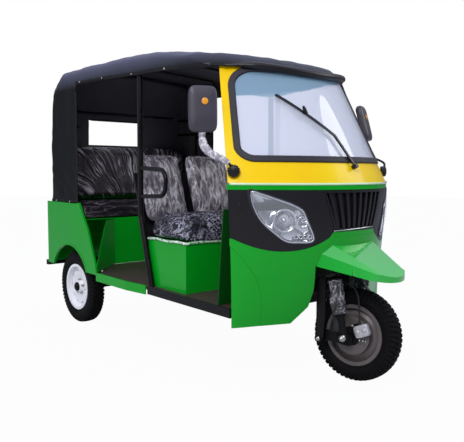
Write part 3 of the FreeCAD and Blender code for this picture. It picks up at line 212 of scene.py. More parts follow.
# two tones, lowest and highest roughness, patch and grain in mm, the grain's height in mm,
# and what else the shader needs
finishes = {
    # two-pack enamel on pressed sheet and glass fibre: deep gloss with a slight orange peel
    "greenEnamel": (("#029A1C", "#08A826"), (0.16, 0.26), 420, 5.0, 0.03,
                    {"Coat Weight": 0.2, "Coat Roughness": 0.06, "Specular IOR Level": 0.2}),
    # the same enamel darkened as painted shade and dust inside the cab, with little gloss
    "shadedEnamel": (("#04400E", "#065214"), (0.3, 0.45), 300, 5.0, 0.03, {"Specular IOR Level": 0.2}),
    # the same enamel under a heavy clear coat for sharp reflections, its tone lighter as painted light on the
    # mudguard's top
    "glossAndPaintedLightEnamel": (("#12A62E", "#1CB83A"), (0.10, 0.18), 420, 5.0, 0.02,
                       {"Coat Weight": 0.9, "Coat Roughness": 0.03, "Specular IOR Level": 0.5}),
    # a pale line of enamel, glossy too: a painted highlight along the ledge's edge
    "paintedHighlightEnamel": (("#BFE0B8", "#DDF0D2"), (0.12, 0.2), 200, 5.0, 0.02),
    # two-pack enamel in yellow: a mild, even gloss
    "yellowEnamel": (("#EFB800", "#F9DC00"), (0.18, 0.28), 420, 5.0, 0.03,
                     {"Coat Weight": 0.12, "Coat Roughness": 0.06, "Specular IOR Level": 0.12}),
    # moulded ABS with a satin spark-eroded grain
    "satinMoulding": (("#100E12", "#17141A"), (0.30, 0.42), 160, 1.6, 0.06, {"Specular IOR Level": 0.35}),
    # black stoving enamel on steel tube, handled and slightly scuffed
    "blackTube": (("#090809", "#100E10"), (0.24, 0.4), 90, 3.0, 0.05, {"Specular IOR Level": 0.22}),
    # brushed chassis black: nearly dull, with road dust in its grain
    "blackChassis": (("#080708", "#100E0F"), (0.45, 0.7), 70, 4.0, 0.12, {"Specular IOR Level": 0.2}),
    # extruded EPDM: dull grey-black with hardly any gloss
    "gasketRubber": (("#26242B", "#312F37"), (0.5, 0.62), 60, 1.5, 0.05, {"Specular IOR Level": 0.3}),
    # moulded ABS in slate grey: a soft satin that shows a dome's curve
    "slateMoulding": (("#35323C", "#413E49"), (0.34, 0.46), 120, 1.6, 0.06),
    # aluminium-pigmented wheel enamel: pale and even, with a soft shine
    "silverEnamel": (("#F2F0F4", "#FBFAFD"), (0.25, 0.4), 50, 2.5, 0.06),
    # grey wheel enamel under brake dust: dim and slightly metallic
    "darkEnamel": (("#5A5352", "#6E6664"), (0.28, 0.42), 60, 2.5, 0.06, {"Metallic": 0.2}),
    # the canvas's woven back: grey cotton without shine
    "canvasLining": (("#48444A", "#565258"), (0.6, 0.8), 200, 4.0, 0.2, {"Specular IOR Level": 0.1}),
    # zinc-plated steel: bright, faintly yellow, with a crystalline bloom
    "zincPlate": (("#A9A79F", "#C9C8C2"), (0.25, 0.42), 12, 1.0, 0.04, {"Metallic": 1.0}),
    # sand-cast aluminium: pale grey, its grain scattering the light
    "castAlloy": (("#B4B2B6", "#CFCDD1"), (0.4, 0.55), 14, 2.2, 0.25, {"Metallic": 0.4}),
    # vulcanised black rubber: close to no gloss
    "tyreRubber": (("#070607", "#0D0C0D"), (0.62, 0.8), 40, 1.6, 0.12, {"Specular IOR Level": 0.14}),
    # injection-moulded red acrylic: glossy, letting a little light through
    "redLens": (("#7D0A0A", "#9C1212"), (0.08, 0.12), 60, 8.0, 0.1, {"Transmission Weight": 0.2}),
    # primed steel sheet, scuffed by feet: a dull brown-red
    "floorSteel": (("#3B2A2C", "#4A3537"), (0.45, 0.62), 120, 3.0, 0.15),
    # embossed PVC leathercloth: dark, with a soft shine on its grain
    "darkVinyl": (("#1C1A20", "#2A272E"), (0.32, 0.5), 90, 3.0, 0.18),
    # welded PVC edge tape: black, a little glossier than the canvas
    "vinylBinding": (("#0B0B0D", "#121214"), (0.4, 0.55), 60, 2.0, 0.1, {"Specular IOR Level": 0.2}),
    # vacuum-metallised plastic: a mirror with a faint waviness
    "chromedPlastic": (("#C8C8CE", "#E4E4EA"), (0.06, 0.16), 20, 3.0, 0.1, {"Metallic": 1.0}),
    # moulded amber acrylic: warm and glossy
    "amberReflector": (("#D98A1E", "#F0A83A"), (0.2, 0.3), 6, 2.0, 0.2),
}
paints = {name: finish(name, *values) for name, values in finishes.items()}


def makeWrapped(name, tones, wave, stretch, turn, spots, relief, fan=None):
    # clear polythene over a dark cover, with painted highlights: the ridges of a stretched noise, 1 - |2n -
    # 1|, are painted as pale glints;
    # with a fan (a centre y, z) the streaks run outwards from it, in angle and distance
    made, tree, shader = newMaterial(name)
    place = put(tree, "ShaderNodeTexCoord").outputs["Object"]
    warp = put(tree, "ShaderNodeTexNoise", {"Scale": 7.0, "Detail": 2.0}, Vector=place)
    bent = put(tree, "ShaderNodeMix", {"data_type": "VECTOR", "0": 0.05}, i4=place,
               i5=warp.outputs["Color"])
    if fan:
        split = put(tree, "ShaderNodeSeparateXYZ", Vector=bent.outputs[1])
        away = [put(tree, "ShaderNodeMath", {"operation": "SUBTRACT", "1": middle}, i0=split.outputs[axis])
                for axis, middle in (("Y", fan[0]), ("Z", fan[1]))]
        angle = put(tree, "ShaderNodeMath", {"operation": "ARCTAN2"}, i0=away[1].outputs[0],
                    i1=away[0].outputs[0])
        flat = put(tree, "ShaderNodeCombineXYZ", None, Y=away[0].outputs[0], Z=away[1].outputs[0])
        reach = put(tree, "ShaderNodeVectorMath", {"operation": "LENGTH"}, i0=flat.outputs[0])
        turnedTo = put(tree, "ShaderNodeCombineXYZ", None, X=angle.outputs[0], Y=reach.outputs["Value"])
        scale = [fan[2], fan[3], 1.0]
    else:
        turnedTo = put(tree, "ShaderNodeMapping", {"Rotation": [math.radians(a) for a in turn]},
                       Vector=bent.outputs[1])
        scale = [1000 / wave / k for k in stretch]
    long = put(tree, "ShaderNodeMapping", {"Scale": scale}, Vector=turnedTo.outputs["Vector"])
    noise = put(tree, "ShaderNodeTexNoise", {"Scale": 1.0, "Detail": 3.0, "Roughness": 0.58},
                Vector=long.outputs["Vector"])
    centred = put(tree, "ShaderNodeMath", {"operation": "MULTIPLY_ADD", "1": 2.0, "2": -1.0},
                  i0=noise.outputs["Fac"])
    fold = put(tree, "ShaderNodeMath", {"operation": "ABSOLUTE"}, i0=centred.outputs[0])
    ridge = put(tree, "ShaderNodeMath", {"operation": "SUBTRACT", "0": 1.0}, i1=fold.outputs[0])
    # the painted glints gather in patches: a slow noise lifts or sinks the ridges
    patch = put(tree, "ShaderNodeTexNoise", {"Scale": 9.0, "Detail": 1.0}, Vector=place)
    lift = put(tree, "ShaderNodeMath", {"operation": "MULTIPLY_ADD", "1": 0.22, "2": -0.11},
               i0=patch.outputs["Fac"])
    uneven = put(tree, "ShaderNodeMath", {"operation": "ADD"}, i0=ridge.outputs[0], i1=lift.outputs[0])
    # the ramp paints the ridges in the pale tone as highlights
    tone = put(tree, "ShaderNodeValToRGB", None, Fac=uneven.outputs[0])
    elements = tone.color_ramp.elements
    elements.new(0.5)
    for index, (spot, code) in enumerate(zip(spots, tones)):
        elements[index].position, elements[index].color = spot, hexColour(code)
    tree.links.new(tone.outputs["Color"], shader.inputs["Base Color"])
    bump = put(tree, "ShaderNodeBump", {"Strength": 0.8, "Distance": relief}, Height=ridge.outputs[0])
    tree.links.new(bump.outputs["Normal"], shader.inputs["Normal"])
    setInputs(shader, {"Roughness": 0.25, "Specular IOR Level": 0.35})
    return made


# polythene film, creased where it was pulled tight: pale glints, painted highlights, over the tone of what it
# covers.
# Dark, middle and pale tones; crease spacing in mm; stretch; turn; where the tones lie; relief in metres
films = {
    "wrappedShock": (("#1F1C20", "#4C494D", "#A09CA4"), 56, (1, 1, 1.6), (0, 0, 0),
                     (0.58, 0.94, 1.03), 0.006),
    "wrappedCushion": (("#17161D", "#444251", "#B9B7C8"), 24, (3.2, 1.0, 1.0), (0, 20, 20),
                       (0.74, 0.93, 1.01), 0.006),
    "wrappedBacks": (("#474248", "#7F7881", "#CBC7CE"), 40, (1.0, 1.0, 3.2), (0, 18, 0),
                     (0.62, 0.90, 1.03), 0.004),
    "wrappedBench": (("#1E1A1F", "#2C282D", "#6A656D"), 40, (1.0, 9.0, 1.0), (0, 0, 0),
                     (0.80, 0.97, 1.03), 0.003),
    "fannedBench": (("#2C272D", "#4B454C", "#C9C4CB"), 34, (1, 1, 1), (0, 0, 0), (0.70, 0.965, 1.02), 0.004,
                    (0.111, 0.647, 26.0, 1.2)),
    "hazyFilm": (("#8B858D", "#AFA9B2", "#E6E3E9"), 46, (1, 1, 1), (0, 0, 0), (0.60, 0.92, 1.01), 0.003),
    "edgeFilm": (("#2B8F3C", "#7DBB83", "#F0F8EE"), 26, (1, 1, 1), (0, 0, 0), (0.55, 0.85, 0.98), 0.004),
}
paints.update({name: makeWrapped(name, *values) for name, values in films.items()})

# the wave texture repeats every tau / (20 x scale) metres, 7.9 mm here; heights and distances are in metres
# the last three give the painted sky reflection on the crown: the heights where it starts and ends, and its
# tone
canvas = {"tones": ("#070709", "#0C0C0F"), "weaveScale": 39.788642, "weaveHeight": 0.0006,
          "paintedLightFrom": 1.66, "paintedLightTo": 1.77, "paintedLightTone": "#5B5D72"}


def makeCanvas():
    # PVC-coated canvas: a weave under a dull coat, drawn about ten times too coarse so that it shows
    made = finish("coatedCanvas", canvas["tones"], (0.42, 0.58), 240, 40.0, 1.2, {"Specular IOR Level": 0.16})
    tree = made.node_tree
    shader = tree.nodes["Principled BSDF"]
    flat = put(tree, "ShaderNodeUVMap", {"uv_map": "flat"}).outputs["UV"]
    waves = [put(tree, "ShaderNodeTexWave", {"Scale": canvas["weaveScale"], "bands_direction": axis,
                                             "Distortion": 0.6}, Vector=flat) for axis in ("X", "Y")]
    weave = put(tree, "ShaderNodeMath", {"operation": "MAXIMUM"}, i0=waves[0].outputs["Fac"],
                i1=waves[1].outputs["Fac"])
    old = [n for n in tree.nodes if n.bl_idname == "ShaderNodeBump"][0]
    relief = put(tree, "ShaderNodeBump", {"Strength": 0.35, "Distance": canvas["weaveHeight"]},
                 Height=weave.outputs[0], Normal=old.outputs["Normal"])
    tree.links.new(relief.outputs["Normal"], shader.inputs["Normal"])
    # painted sky reflection on the crown: slate blue above the eaves, black below
    place = put(tree, "ShaderNodeTexCoord").outputs["Object"]
    split = put(tree, "ShaderNodeSeparateXYZ", Vector=place)
    height = put(tree, "ShaderNodeMapRange", {"From Min": canvas["paintedLightFrom"],
                                              "From Max": canvas["paintedLightTo"]}, Value=split.outputs["Z"])
    ownTone = shader.inputs["Base Color"].links[0].from_socket
    litOnTop = put(tree, "ShaderNodeMix", {"data_type": "RGBA", "7": hexColour(canvas["paintedLightTone"])},
                i0=height.outputs["Result"], i6=ownTone)
    tree.links.new(litOnTop.outputs[2], shader.inputs["Base Color"])
    return made


# the painted reflection on the screen, in metres: the slanting line's slope and height, its lowest level, and
# the upright band's place and width
screenReflection = {"pale": "#D4D9E8", "blue": "#84A6BE", "cover": 0.74, "slope": -0.215, "rise": 1.562,
              "level": 1.495, "soft": 0.008, "band": (-0.808, 0.012), "bandLean": 0.333,
              "bandTone": "#98A6B8", "bandShare": 0.7}


def makeScreenGlass():
    # laminated glass with a painted reflection: blue-grey above a slanting line, pale below it, with a clear
    # sharp shine
    made, tree, shader = newMaterial("laminatedGlass")
    place = put(tree, "ShaderNodeTexCoord").outputs["Object"]
    split = put(tree, "ShaderNodeSeparateXYZ", Vector=place)
    drift = put(tree, "ShaderNodeTexNoise", {"Scale": 6.0, "Detail": 3.0}, Vector=place)
    ragged = put(tree, "ShaderNodeMath", {"operation": "MULTIPLY_ADD", "1": 0.03}, i0=drift.outputs["Fac"],
                 i2=split.outputs["Z"])
    slanted = put(tree, "ShaderNodeMath", {"operation": "MULTIPLY_ADD", "1": -screenReflection["slope"],
                                           "2": screenReflection["rise"]}, i0=split.outputs["Y"])
    level = put(tree, "ShaderNodeMath", {"operation": "MAXIMUM", "1": screenReflection["level"]},
                i0=slanted.outputs[0])
    height = put(tree, "ShaderNodeMath", {"operation": "SUBTRACT"}, i0=ragged.outputs[0],
                 i1=level.outputs[0])
    above = put(tree, "ShaderNodeMapRange", {"From Min": 0.0, "From Max": screenReflection["soft"]},
                Value=height.outputs[0])
    tone = put(tree, "ShaderNodeMix", {"data_type": "RGBA", "6": hexColour(screenReflection["pale"]),
                                       "7": hexColour(screenReflection["blue"])}, i0=above.outputs["Result"])
    # an upright band, a shade darker than the pale part
    across = put(tree, "ShaderNodeMath", {"operation": "MULTIPLY_ADD", "1": -screenReflection["bandLean"]},
                 i0=split.outputs["Z"], i2=split.outputs["Y"])
    band = put(tree, "ShaderNodeMath", {"operation": "COMPARE", "1": screenReflection["band"][0],
                                        "2": screenReflection["band"][1]}, i0=across.outputs[0])
    below = put(tree, "ShaderNodeMath", {"operation": "MULTIPLY_ADD", "1": -screenReflection["bandShare"],
                                         "2": screenReflection["bandShare"]}, i0=above.outputs["Result"])
    shade = put(tree, "ShaderNodeMath", {"operation": "MULTIPLY"}, i0=band.outputs[0], i1=below.outputs[0])
    shaded = put(tree, "ShaderNodeMix", {"data_type": "RGBA", "7": hexColour(screenReflection["bandTone"])},
                 i0=shade.outputs[0], i6=tone.outputs[2])
    tree.links.new(shaded.outputs[2], shader.inputs["Base Color"])
    setInputs(shader, {"Roughness": 0.03, "IOR": 1.5, "Alpha": screenReflection["cover"],
                       "Specular IOR Level": 0.8})
    return made


def makeClear(name, colour, alpha):
    # clear moulded plastic, thin enough that what lies behind it shows
    made, _, shader = newMaterial(name)
    setInputs(shader, {"Base Color": hexColour(colour), "Roughness": 0.03, "IOR": 1.55, "Alpha": alpha})
    return made


paints["coatedCanvas"] = makeCanvas()
paints["laminatedGlass"] = makeScreenGlass()
paints["clearPolycarbonate"] = makeClear("clearPolycarbonate", "#E8ECF2", 0.2)

nodePaint = {
    "greenEnamel": "front_cowl cowl_ledge step_panels quarter_right quarter_left tail_panel rear_bench "
                   "driver_seat_box",
    "shadedEnamel": "toe_board",
    "glossAndPaintedLightEnamel": "front_mudguard",
    "yellowEnamel": "windscreen_frame",
    "satinMoulding": "nose_mask grille driver_back_board dashboard wiper",
    "slateMoulding": "mirror_right mirror_left",
    "clearPolycarbonate": "headlight_right headlight_left",
    "blackTube": "pillar_right pillar_left door_sills roof_hoops",
    "blackChassis": "frame_rail_right frame_rail_left frame_crossbars frame_outriggers rear_axle "
                    "leaf_springs rear_bumper steering_head steering_stem fork_legs fork_links "
                    "handlebar fork_shocks",
    "gasketRubber": "windscreen_seal",
    "laminatedGlass": "windscreen_glass",
    "coatedCanvas": "canopy",
    "floorSteel": "floor_pan",
    "darkVinyl": "driver_cushion driver_back_pads rear_cushion rear_back_pad",
    "castAlloy": "drive_motor",
    "redLens": "tail_lamps",
    "zincPlate": "front_axle",
    "tyreRubber": "front_tyre rear_tyre_right rear_tyre_left",
    "darkEnamel": "front_rim",
    "silverEnamel": "rear_rim_right rear_rim_left",
}
for paintName, names in nodePaint.items():
    for nodeName in names.split():
        mesh = frame["nodes"][nodeName].data
        mesh.materials.clear()
        mesh.materials.append(paints[paintName])
print("the frame's own pieces are painted")


# surfaces from numpy grids

def gridMesh(name, points, keep=None, flat=None, closed=(False, False), flip=False):
    # quads between neighbouring points of a (rows, columns, 3) grid in metres;
    # closed joins the last row or column to the first, keep masks the quads that stay
    rows, columns = points.shape[:2]
    index = np.arange(rows * columns).reshape(rows, columns)
    down = np.vstack([index, index[:1]]) if closed[0] else index
    full = np.hstack([down, down[:, :1]]) if closed[1] else down
    quads = np.stack([full[:-1, :-1], full[1:, :-1], full[1:, 1:], full[:-1, 1:]], axis=-1)
    if flip:
        quads = quads[..., ::-1]
    quads = quads.reshape(-1, 4) if keep is None else quads[keep]
    mesh = bpy.data.meshes.new(name)
    mesh.vertices.add(rows * columns)
    mesh.vertices.foreach_set("co", points.astype(np.float32).ravel())
    mesh.loops.add(quads.size)
    mesh.loops.foreach_set("vertex_index", quads.ravel().astype(np.int32))
    mesh.polygons.add(len(quads))
    mesh.polygons.foreach_set("loop_start", np.arange(0, quads.size, 4, dtype=np.int32))
    mesh.polygons.foreach_set("use_smooth", np.ones(len(quads), bool))
    mesh.update(calc_edges=True)
    if flat is not None:
        layer = mesh.uv_layers.new(name="flat")
        layer.data.foreach_set("uv", flat.reshape(-1, 2)[quads.ravel()].astype(np.float32).ravel())
    mesh.validate()
    return mesh


def addPiece(name, mesh, body, paint, replaces=()):
    # a new object in its material, riding on a body and taking the place of what it replaces
    piece = bpy.data.objects.new(name, mesh)
    bpy.context.scene.collection.objects.link(piece)
    piece.data.materials.clear()
    piece.data.materials.append(paints[paint])
    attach(piece, body)
    if replaces:
        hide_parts(*replaces)
    return piece


def thicken(piece, thickness):
    # gives a surface a wall of that many mm on its inner side
    wall = piece.modifiers.new("thickness", "SOLIDIFY")
    wall.thickness, wall.offset = thickness / 1000, -1
    return wall


def joinMeshes(name, meshes):
    # one mesh from several, with coincident points left as they are
    whole = bmesh.new()
    for mesh in meshes:
        whole.from_mesh(mesh)
    made = bpy.data.meshes.new(name)
    whole.to_mesh(made)
    whole.free()
    made.polygons.foreach_set("use_smooth", np.ones(len(made.polygons), bool))
    return made


def addJoined(name, meshes, body, paint, replaces=()):
    # one piece from several meshes
    return addPiece(name, joinMeshes(name, meshes), body, paint, replaces)


def weld(mesh, distance=1e-5):
    # closes seams and poles: points nearer than distance become one, and the faces turn outwards
    whole = bmesh.new()
    whole.from_mesh(mesh)
    bmesh.ops.remove_doubles(whole, verts=whole.verts, dist=distance)
    bmesh.ops.recalc_face_normals(whole, faces=whole.faces)
    whole.to_mesh(mesh)
    whole.free()
    return mesh


def between(p, t):
    # Catmull-Rom: a cubic from point to point, its slope at each half the step between the neighbours
    i = t.astype(int)
    s = (t - i)[:, None]
    a, b, c, d = (p[i + k] for k in range(4))
    return 0.5 * (2 * b + (c - a) * s + (2 * a - 5 * b + 4 * c - d) * s ** 2
                  + (3 * b - a - 3 * c + d) * s ** 3)


def smoothPath(points, count):
    # the curve through the points, at count even steps of its parameter
    p = np.asarray(points, float)
    p = np.vstack([2 * p[0] - p[1], p, 2 * p[-1] - p[-2]])
    return between(p, np.linspace(0, len(p) - 3 - 1e-9, count))


def closedPath(points, count):
    # the same curve round a closed loop
    p = np.asarray(points, float)
    return between(np.vstack([p[-1:], p, p[:2]]), np.linspace(0, len(p), count, endpoint=False))


def sweep(name, path, radii, steps=10, reference=(0, 0, 1), squashed=1.0):
    # a ring of the given radius at each path point, square to the path; the ends close to points
    path = np.asarray(path, float)
    radii = np.broadcast_to(np.asarray(radii, float), (len(path),))
    path = np.vstack([path[:1], path, path[-1:]])
    radii = np.concatenate([[1e-3], radii, [1e-3]])
    along = np.gradient(path, axis=0)
    along[0], along[-1] = along[min(2, len(along) - 1)], along[-3]
    along /= np.linalg.norm(along, axis=1, keepdims=True) + 1e-12
    side = np.cross(along, np.asarray(reference, float))
    side /= np.linalg.norm(side, axis=1, keepdims=True) + 1e-12
    up = np.cross(side, along)
    angle = np.linspace(0, 2 * np.pi, steps, endpoint=False)
    flat, tall = np.cos(angle)[None, :, None], (np.sin(angle) * squashed)[None, :, None]
    ring = side[:, None] * flat + up[:, None] * tall
    return gridMesh(name, toRow(path[:, None] + ring * radii[:, None, None]), closed=(False, True))


def smoothStep(x, low, high):
    # rises from 0 to 1 between low and high as t squared times (3 - 2 t)
    t = np.clip((x - low) / (high - low), 0, 1)
    return t * t * (3 - 2 * t)


def ripples(points, wave, seed, stretch=(1, 1, 1), count=14):
    # a sum of sine waves in random directions, scaled to about -1..1; stretch lengthens it along an axis
    rng = np.random.default_rng(seed)
    way = rng.normal(size=(count, 3))
    way /= np.linalg.norm(way, axis=1, keepdims=True)
    way = way * rng.uniform(0.6, 1.7, (count, 1)) * (2 * np.pi / wave) / np.asarray(stretch)
    phase = rng.uniform(0, 2 * np.pi, count)
    return np.sin(points @ way.T + phase).sum(-1) / math.sqrt(count)


# the canvas roof

# the visor's arc in plan, the lip's height across it, the bindings' half width, and how far back
# from the edge the canvas starts to fall to the lip, in the middle and towards the sides
edges = {"arcMiddle": 1068.0, "arcRadius": 657.0, "lipHalf": 21.0,
         "lipAcross": (0, 90, 172, 250, 320, 384, 430, 470, 500),
         "lipUp": (1627, 1628, 1633, 1639, 1645, 1650, 1652, 1650, 1645), "lipReach": 480.0,
         "bindHalf": 11.0, "windowBindHalf": 12.0, "fall": (200.0, 110.0)}
roof = {"half": 602.0, "eave": 1745.0, "crown": 1845.0, "rear": -402.0, "foot": 860.5, "hem": 1668.0,
        "curtainFront": 55.0, "window": (316.0, 195.0, 1280.0, 1492.0), "corner": 42.0, "thickness": 4.0,
        # how far the half width, the eave and the crown have fallen at each station
        "stations": (-420, -300, -205, -165, 180, 520, 805, 1080, 1250, 1500, 1785),
        "halfDrop": (0, 0, 0, 0, 0, 0, 0, 8, 20, 92, 175),
        "eaveDrop": (150, 108, 30, 4, 2, 6, 8, 26, 54, 40, 118),
        "crownDrop": (60, 40, 10, 1, 0, 4, 8, 32, 66, 114, 192),
        "hemAlong": (100, 439, 805, 1137, 1492, 1900), "hemUp": (1690, 1684, 1668, 1661, 1644, 1606),
        "lean": 32.0, "leanFrom": 858.0, "bendFrom": 1540.0, "rearCut": 1.6, "rearTurn": 252.0,
        "hoops": (-150, 190, 590, 1000, 1480), "sag": 9.0, "ripple": 3.2, "cut": (5.0, 2.0),
        # cells up to the window, beside it, up to the hem, to the eave, round the shoulder, to the middle
        "rows": (22, 10, 9, 4, 7, 26),
        # cells ahead of the curtain's front edge, behind it, round a corner, beside the window, across it
        "columns": (76, 24, 6, 15, 28)}


def roofValue(x, base, drops):
    # a height or half width less what it has fallen at x
    return base - np.interp(x, roof["stations"], drops)


def hemHeight(x):
    # the hem's line, read from the photograph at a few stations
    return np.interp(x, roof["hemAlong"], roof["hemUp"])


def rearEdge(z):
    # the back wall leans forward a little, then turns over into the roof along a quarter of a superellipse
    low, bendFrom = roof["leanFrom"], roof["bendFrom"]
    lean = roof["lean"] * (np.minimum(z, bendFrom) - low) / (bendFrom - low)
    t = np.clip((z - bendFrom) / (roof["crown"] - bendFrom), 0, 1)
    bend = 1 - np.clip(1 - t ** roof["rearCut"], 0, 1) ** (1 / roof["rearCut"])
    return roof["rear"] + lean + roof["rearTurn"] * bend


def roofSection(x, level):
    # half width and height at every level: wall, hem to eave, rounded shoulder, crowned top
    half, eave = roofValue(x, roof["half"], roof["halfDrop"]), roofValue(x, roof["eave"], roof["eaveDrop"])
    crown = roofValue(x, roof["crown"], roof["crownDrop"])
    hem = hemHeight(x)
    shoulderY, shoulderZ = half - 70, eave + (crown - eave) * 0.62
    bendY, bendZ = half - 14, eave + (shoulderZ - eave) * 0.66
    controlY, controlZ = 2 * bendY - (half + shoulderY) / 2, 2 * bendZ - (eave + shoulderZ) / 2
    kind, t = level
    rise = crown - shoulderZ
    radius = (shoulderY ** 2 + rise ** 2) / (2 * rise)
    topY = shoulderY * (1 - t)
    bend = (1 - t) ** 2 * half + 2 * t * (1 - t) * controlY + t ** 2 * shoulderY
    y = np.select([kind < 2, kind == 2], [half, bend], topY)
    bend = (1 - t) ** 2 * eave + 2 * t * (1 - t) * controlZ + t ** 2 * shoulderZ
    z = np.select([kind == 0, kind == 1, kind == 2], [t, hem + (eave - hem) * t, bend],
                  crown - (radius - np.sqrt(np.maximum(radius ** 2 - topY ** 2, 0))))
    return y, z


def visorFront(y):
    # the roof's front edge in plan, an arc
    return edges["arcMiddle"] + np.sqrt(np.maximum(edges["arcRadius"] ** 2 - y ** 2, 0))


def lipHeight(y):
    # the lip's middle line, highest above the screen's corners
    return np.interp(np.abs(y), edges["lipAcross"], edges["lipUp"])


def lipHalf(y):
    # the lip thins out towards its ends
    return edges["lipHalf"] * (0.28 + 0.72 * (1 - smoothStep(np.abs(y), 330, edges["lipReach"] - 10)))


def evenly(start, stop, cells):
    # the far ends of that many even steps
    return np.linspace(start, stop, cells + 1)[1:]


def roofGrid():
    # rows climb from the foot to the middle of the top; each runs from the visor along the right side,
    # round the back and along the left side to the visor again
    windowRight, windowLeft, windowLow, windowHigh = roof["window"]
    toWindow, overWindow, toHem, *above = roof["rows"]
    ahead, behind, turning, beside, across = roof["columns"]
    wall = np.concatenate([[roof["foot"]], evenly(roof["foot"], windowLow, toWindow),
                           evenly(windowLow, windowHigh, overWindow), evenly(windowHigh, roof["hem"], toHem)])
    kind = np.concatenate([np.zeros(len(wall)), np.repeat((1.0, 2.0, 3.0), above)])[:, None]
    t = np.concatenate([wall] + [evenly(0, 1, cells) for cells in above])[:, None]
    # the edges at the back and front depend on the section there, so each is found in a few rounds
    rearX = np.full_like(t, roof["rear"])
    for _ in range(12):
        rearY, rearZ = roofSection(rearX, (kind, t))
        rearX = rearEdge(rearZ)
    front = np.full_like(t, 1600.0)
    for _ in range(8):
        front = visorFront(roofSection(front, (kind, t))[0])
    corner = np.minimum(roof["corner"], rearY)
    start = roof["curtainFront"]
    armX = np.hstack([start + (front - start) * np.linspace(1, 0, ahead + 1),
                      rearX + corner + (start - rearX - corner) * evenly(1, 0, behind)])
    armY, armZ = roofSection(armX, (np.broadcast_to(kind, armX.shape), np.broadcast_to(t, armX.shape)))
    hemRow = len(wall) - 1
    armZ[hemRow] = hemHeight(armX[hemRow])
    # near its front edge the canvas falls to the lip
    fall = np.interp(armY, (0, 430), edges["fall"])
    near = smoothStep(armX - visorFront(armY), -fall, 0 * fall) * np.select([kind < 1, kind == 1], [0, t], 1)
    armZ = armZ + (lipHeight(armY) + lipHalf(armY) * 0.7 - armZ) * near
    turn = evenly(0, np.pi / 2, turning)
    cornerX = rearX + corner * (1 - np.sin(turn))
    cornerY = rearY - corner * (1 - np.cos(turn))
    cornerZ = np.broadcast_to(rearZ, cornerX.shape)
    # the back wall's columns gather round the window and narrow with the roof above it
    flatHalf = rearY - corner
    right, left = np.minimum(windowRight, flatHalf * 0.53), np.minimum(windowLeft, flatHalf * 0.4)
    backY = np.hstack([flatHalf + (right - flatHalf) * evenly(0, 1, beside),
                       right - (right + left) * evenly(0, 1, across),
                       -left - (flatHalf - left) * evenly(0, 1, beside)])[:, :-1]
    backX, backZ = np.broadcast_to(rearX, backY.shape), np.broadcast_to(rearZ, backY.shape)
    x = np.hstack([armX, cornerX, backX, cornerX[:, ::-1], armX[:, ::-1]])
    y = np.hstack([-armY, -cornerY, -backY, cornerY[:, ::-1], armY[:, ::-1]])
    z = np.hstack([armZ, cornerZ, backZ, cornerZ[:, ::-1], armZ[:, ::-1]])
    return np.stack([x, y, z], axis=-1), hemRow


def roofNormals(points):
    # the cross product of the grid's two directions, turned away from the cab's middle
    normal = np.cross(np.gradient(points, axis=0), np.gradient(points, axis=1))
    length = np.linalg.norm(normal, axis=-1, keepdims=True)
    normal = np.where(length > 1e-3, normal / np.maximum(length, 1e-9), (0, 0, 1.0))
    outward = points - (600.0, 0.0, 1200.0)
    return normal * np.sign((normal * outward).sum(-1, keepdims=True) + 1e-9)


def roofRelief(points):
    # how far each point moves out: a sag between the hoops, folds in the walls and ripples all over
    x, y, z = np.moveaxis(points, -1, 0)
    isTop = np.clip((z - roof["eave"] + 60) / 60, 0, 1)
    gap = np.abs(x[..., None] - np.asarray(roof["hoops"], float)).min(-1)
    sag = -roof["sag"] * np.clip(gap / 190, 0, 1) ** 1.5 * isTop * np.clip(1 - np.abs(y) / 640, 0, 1) ** 0.5
    folds = ripples(points, 260, 3, (1, 1, 2.6)) * 0.8 + ripples(points, 120, 5, (1, 1, 3.5)) * 0.5
    folds = folds * (1 - isTop) * np.clip((z - roof["foot"]) / 60, 0.25, 1)
    tension = ripples(points + np.stack([z * 0.9, 0 * z, 0 * z], -1), 170, 8, (1, 1, 1)) * 0.45
    small = ripples(points, 90, 11) * 0.25
    shift = sag + roof["ripple"] * (folds + tension + small)
    return np.where(isTop > 0.5, np.minimum(shift, 2.0), np.clip(shift, -8, 6))


def makeRoof():
    # the grid, creased along its normals, cut open at the doors and the window, and given its flat
    # pattern from the lengths along its rows and columns
    points, hemRow = roofGrid()
    points = points + roofNormals(points) * roofRelief(points)[..., None]
    rows, columns = points.shape[:2]
    ahead, behind, turning, beside, across = roof["columns"]
    keep = np.ones((rows - 1, columns - 1), bool)
    keep[:hemRow, :ahead] = False
    keep[:hemRow, columns - 1 - ahead:] = False
    lowRow, highRow = roof["rows"][0], roof["rows"][0] + roof["rows"][1]
    left = ahead + behind + turning + beside
    keep[lowRow:highRow, left:left + across] = False
    step = np.linalg.norm(np.diff(points, axis=1), axis=-1)
    alongU = np.hstack([np.zeros((rows, 1)), np.cumsum(step, axis=1)]) / 1000
    alongU -= alongU[:, columns // 2:columns // 2 + 1]
    climb = np.linalg.norm(np.diff(points, axis=0), axis=-1)
    alongV = np.vstack([np.zeros((1, columns)), np.cumsum(climb, axis=0)]) / 1000
    mesh = gridMesh("roofCanvas", toRow(points), keep, np.stack([alongU, alongV], -1))
    weld(mesh, 2e-4)
    piece = addPiece("roofCanvas", mesh, "chassis", "coatedCanvas", ["canopy"])
    thicken(piece, roof["thickness"]).material_offset = 1                   # the lining shows inside
    mesh.materials.append(paints["canvasLining"])
    return points, hemRow, points[lowRow:highRow + 1, left:left + across + 1]


roofPoints, hemRow, windowPoints = makeRoof()
print("the canvas roof is made")


# tyres: a block tread cut into a rounded section

tyres = {"front": {"radius": 242.0, "width": 96.0, "bead": 146.0, "pitches": 54},
         "rear": {"radius": 257.0, "width": 105.0, "bead": 150.0, "pitches": 56},
         "depth": 9.0, "blockSteps": 8}


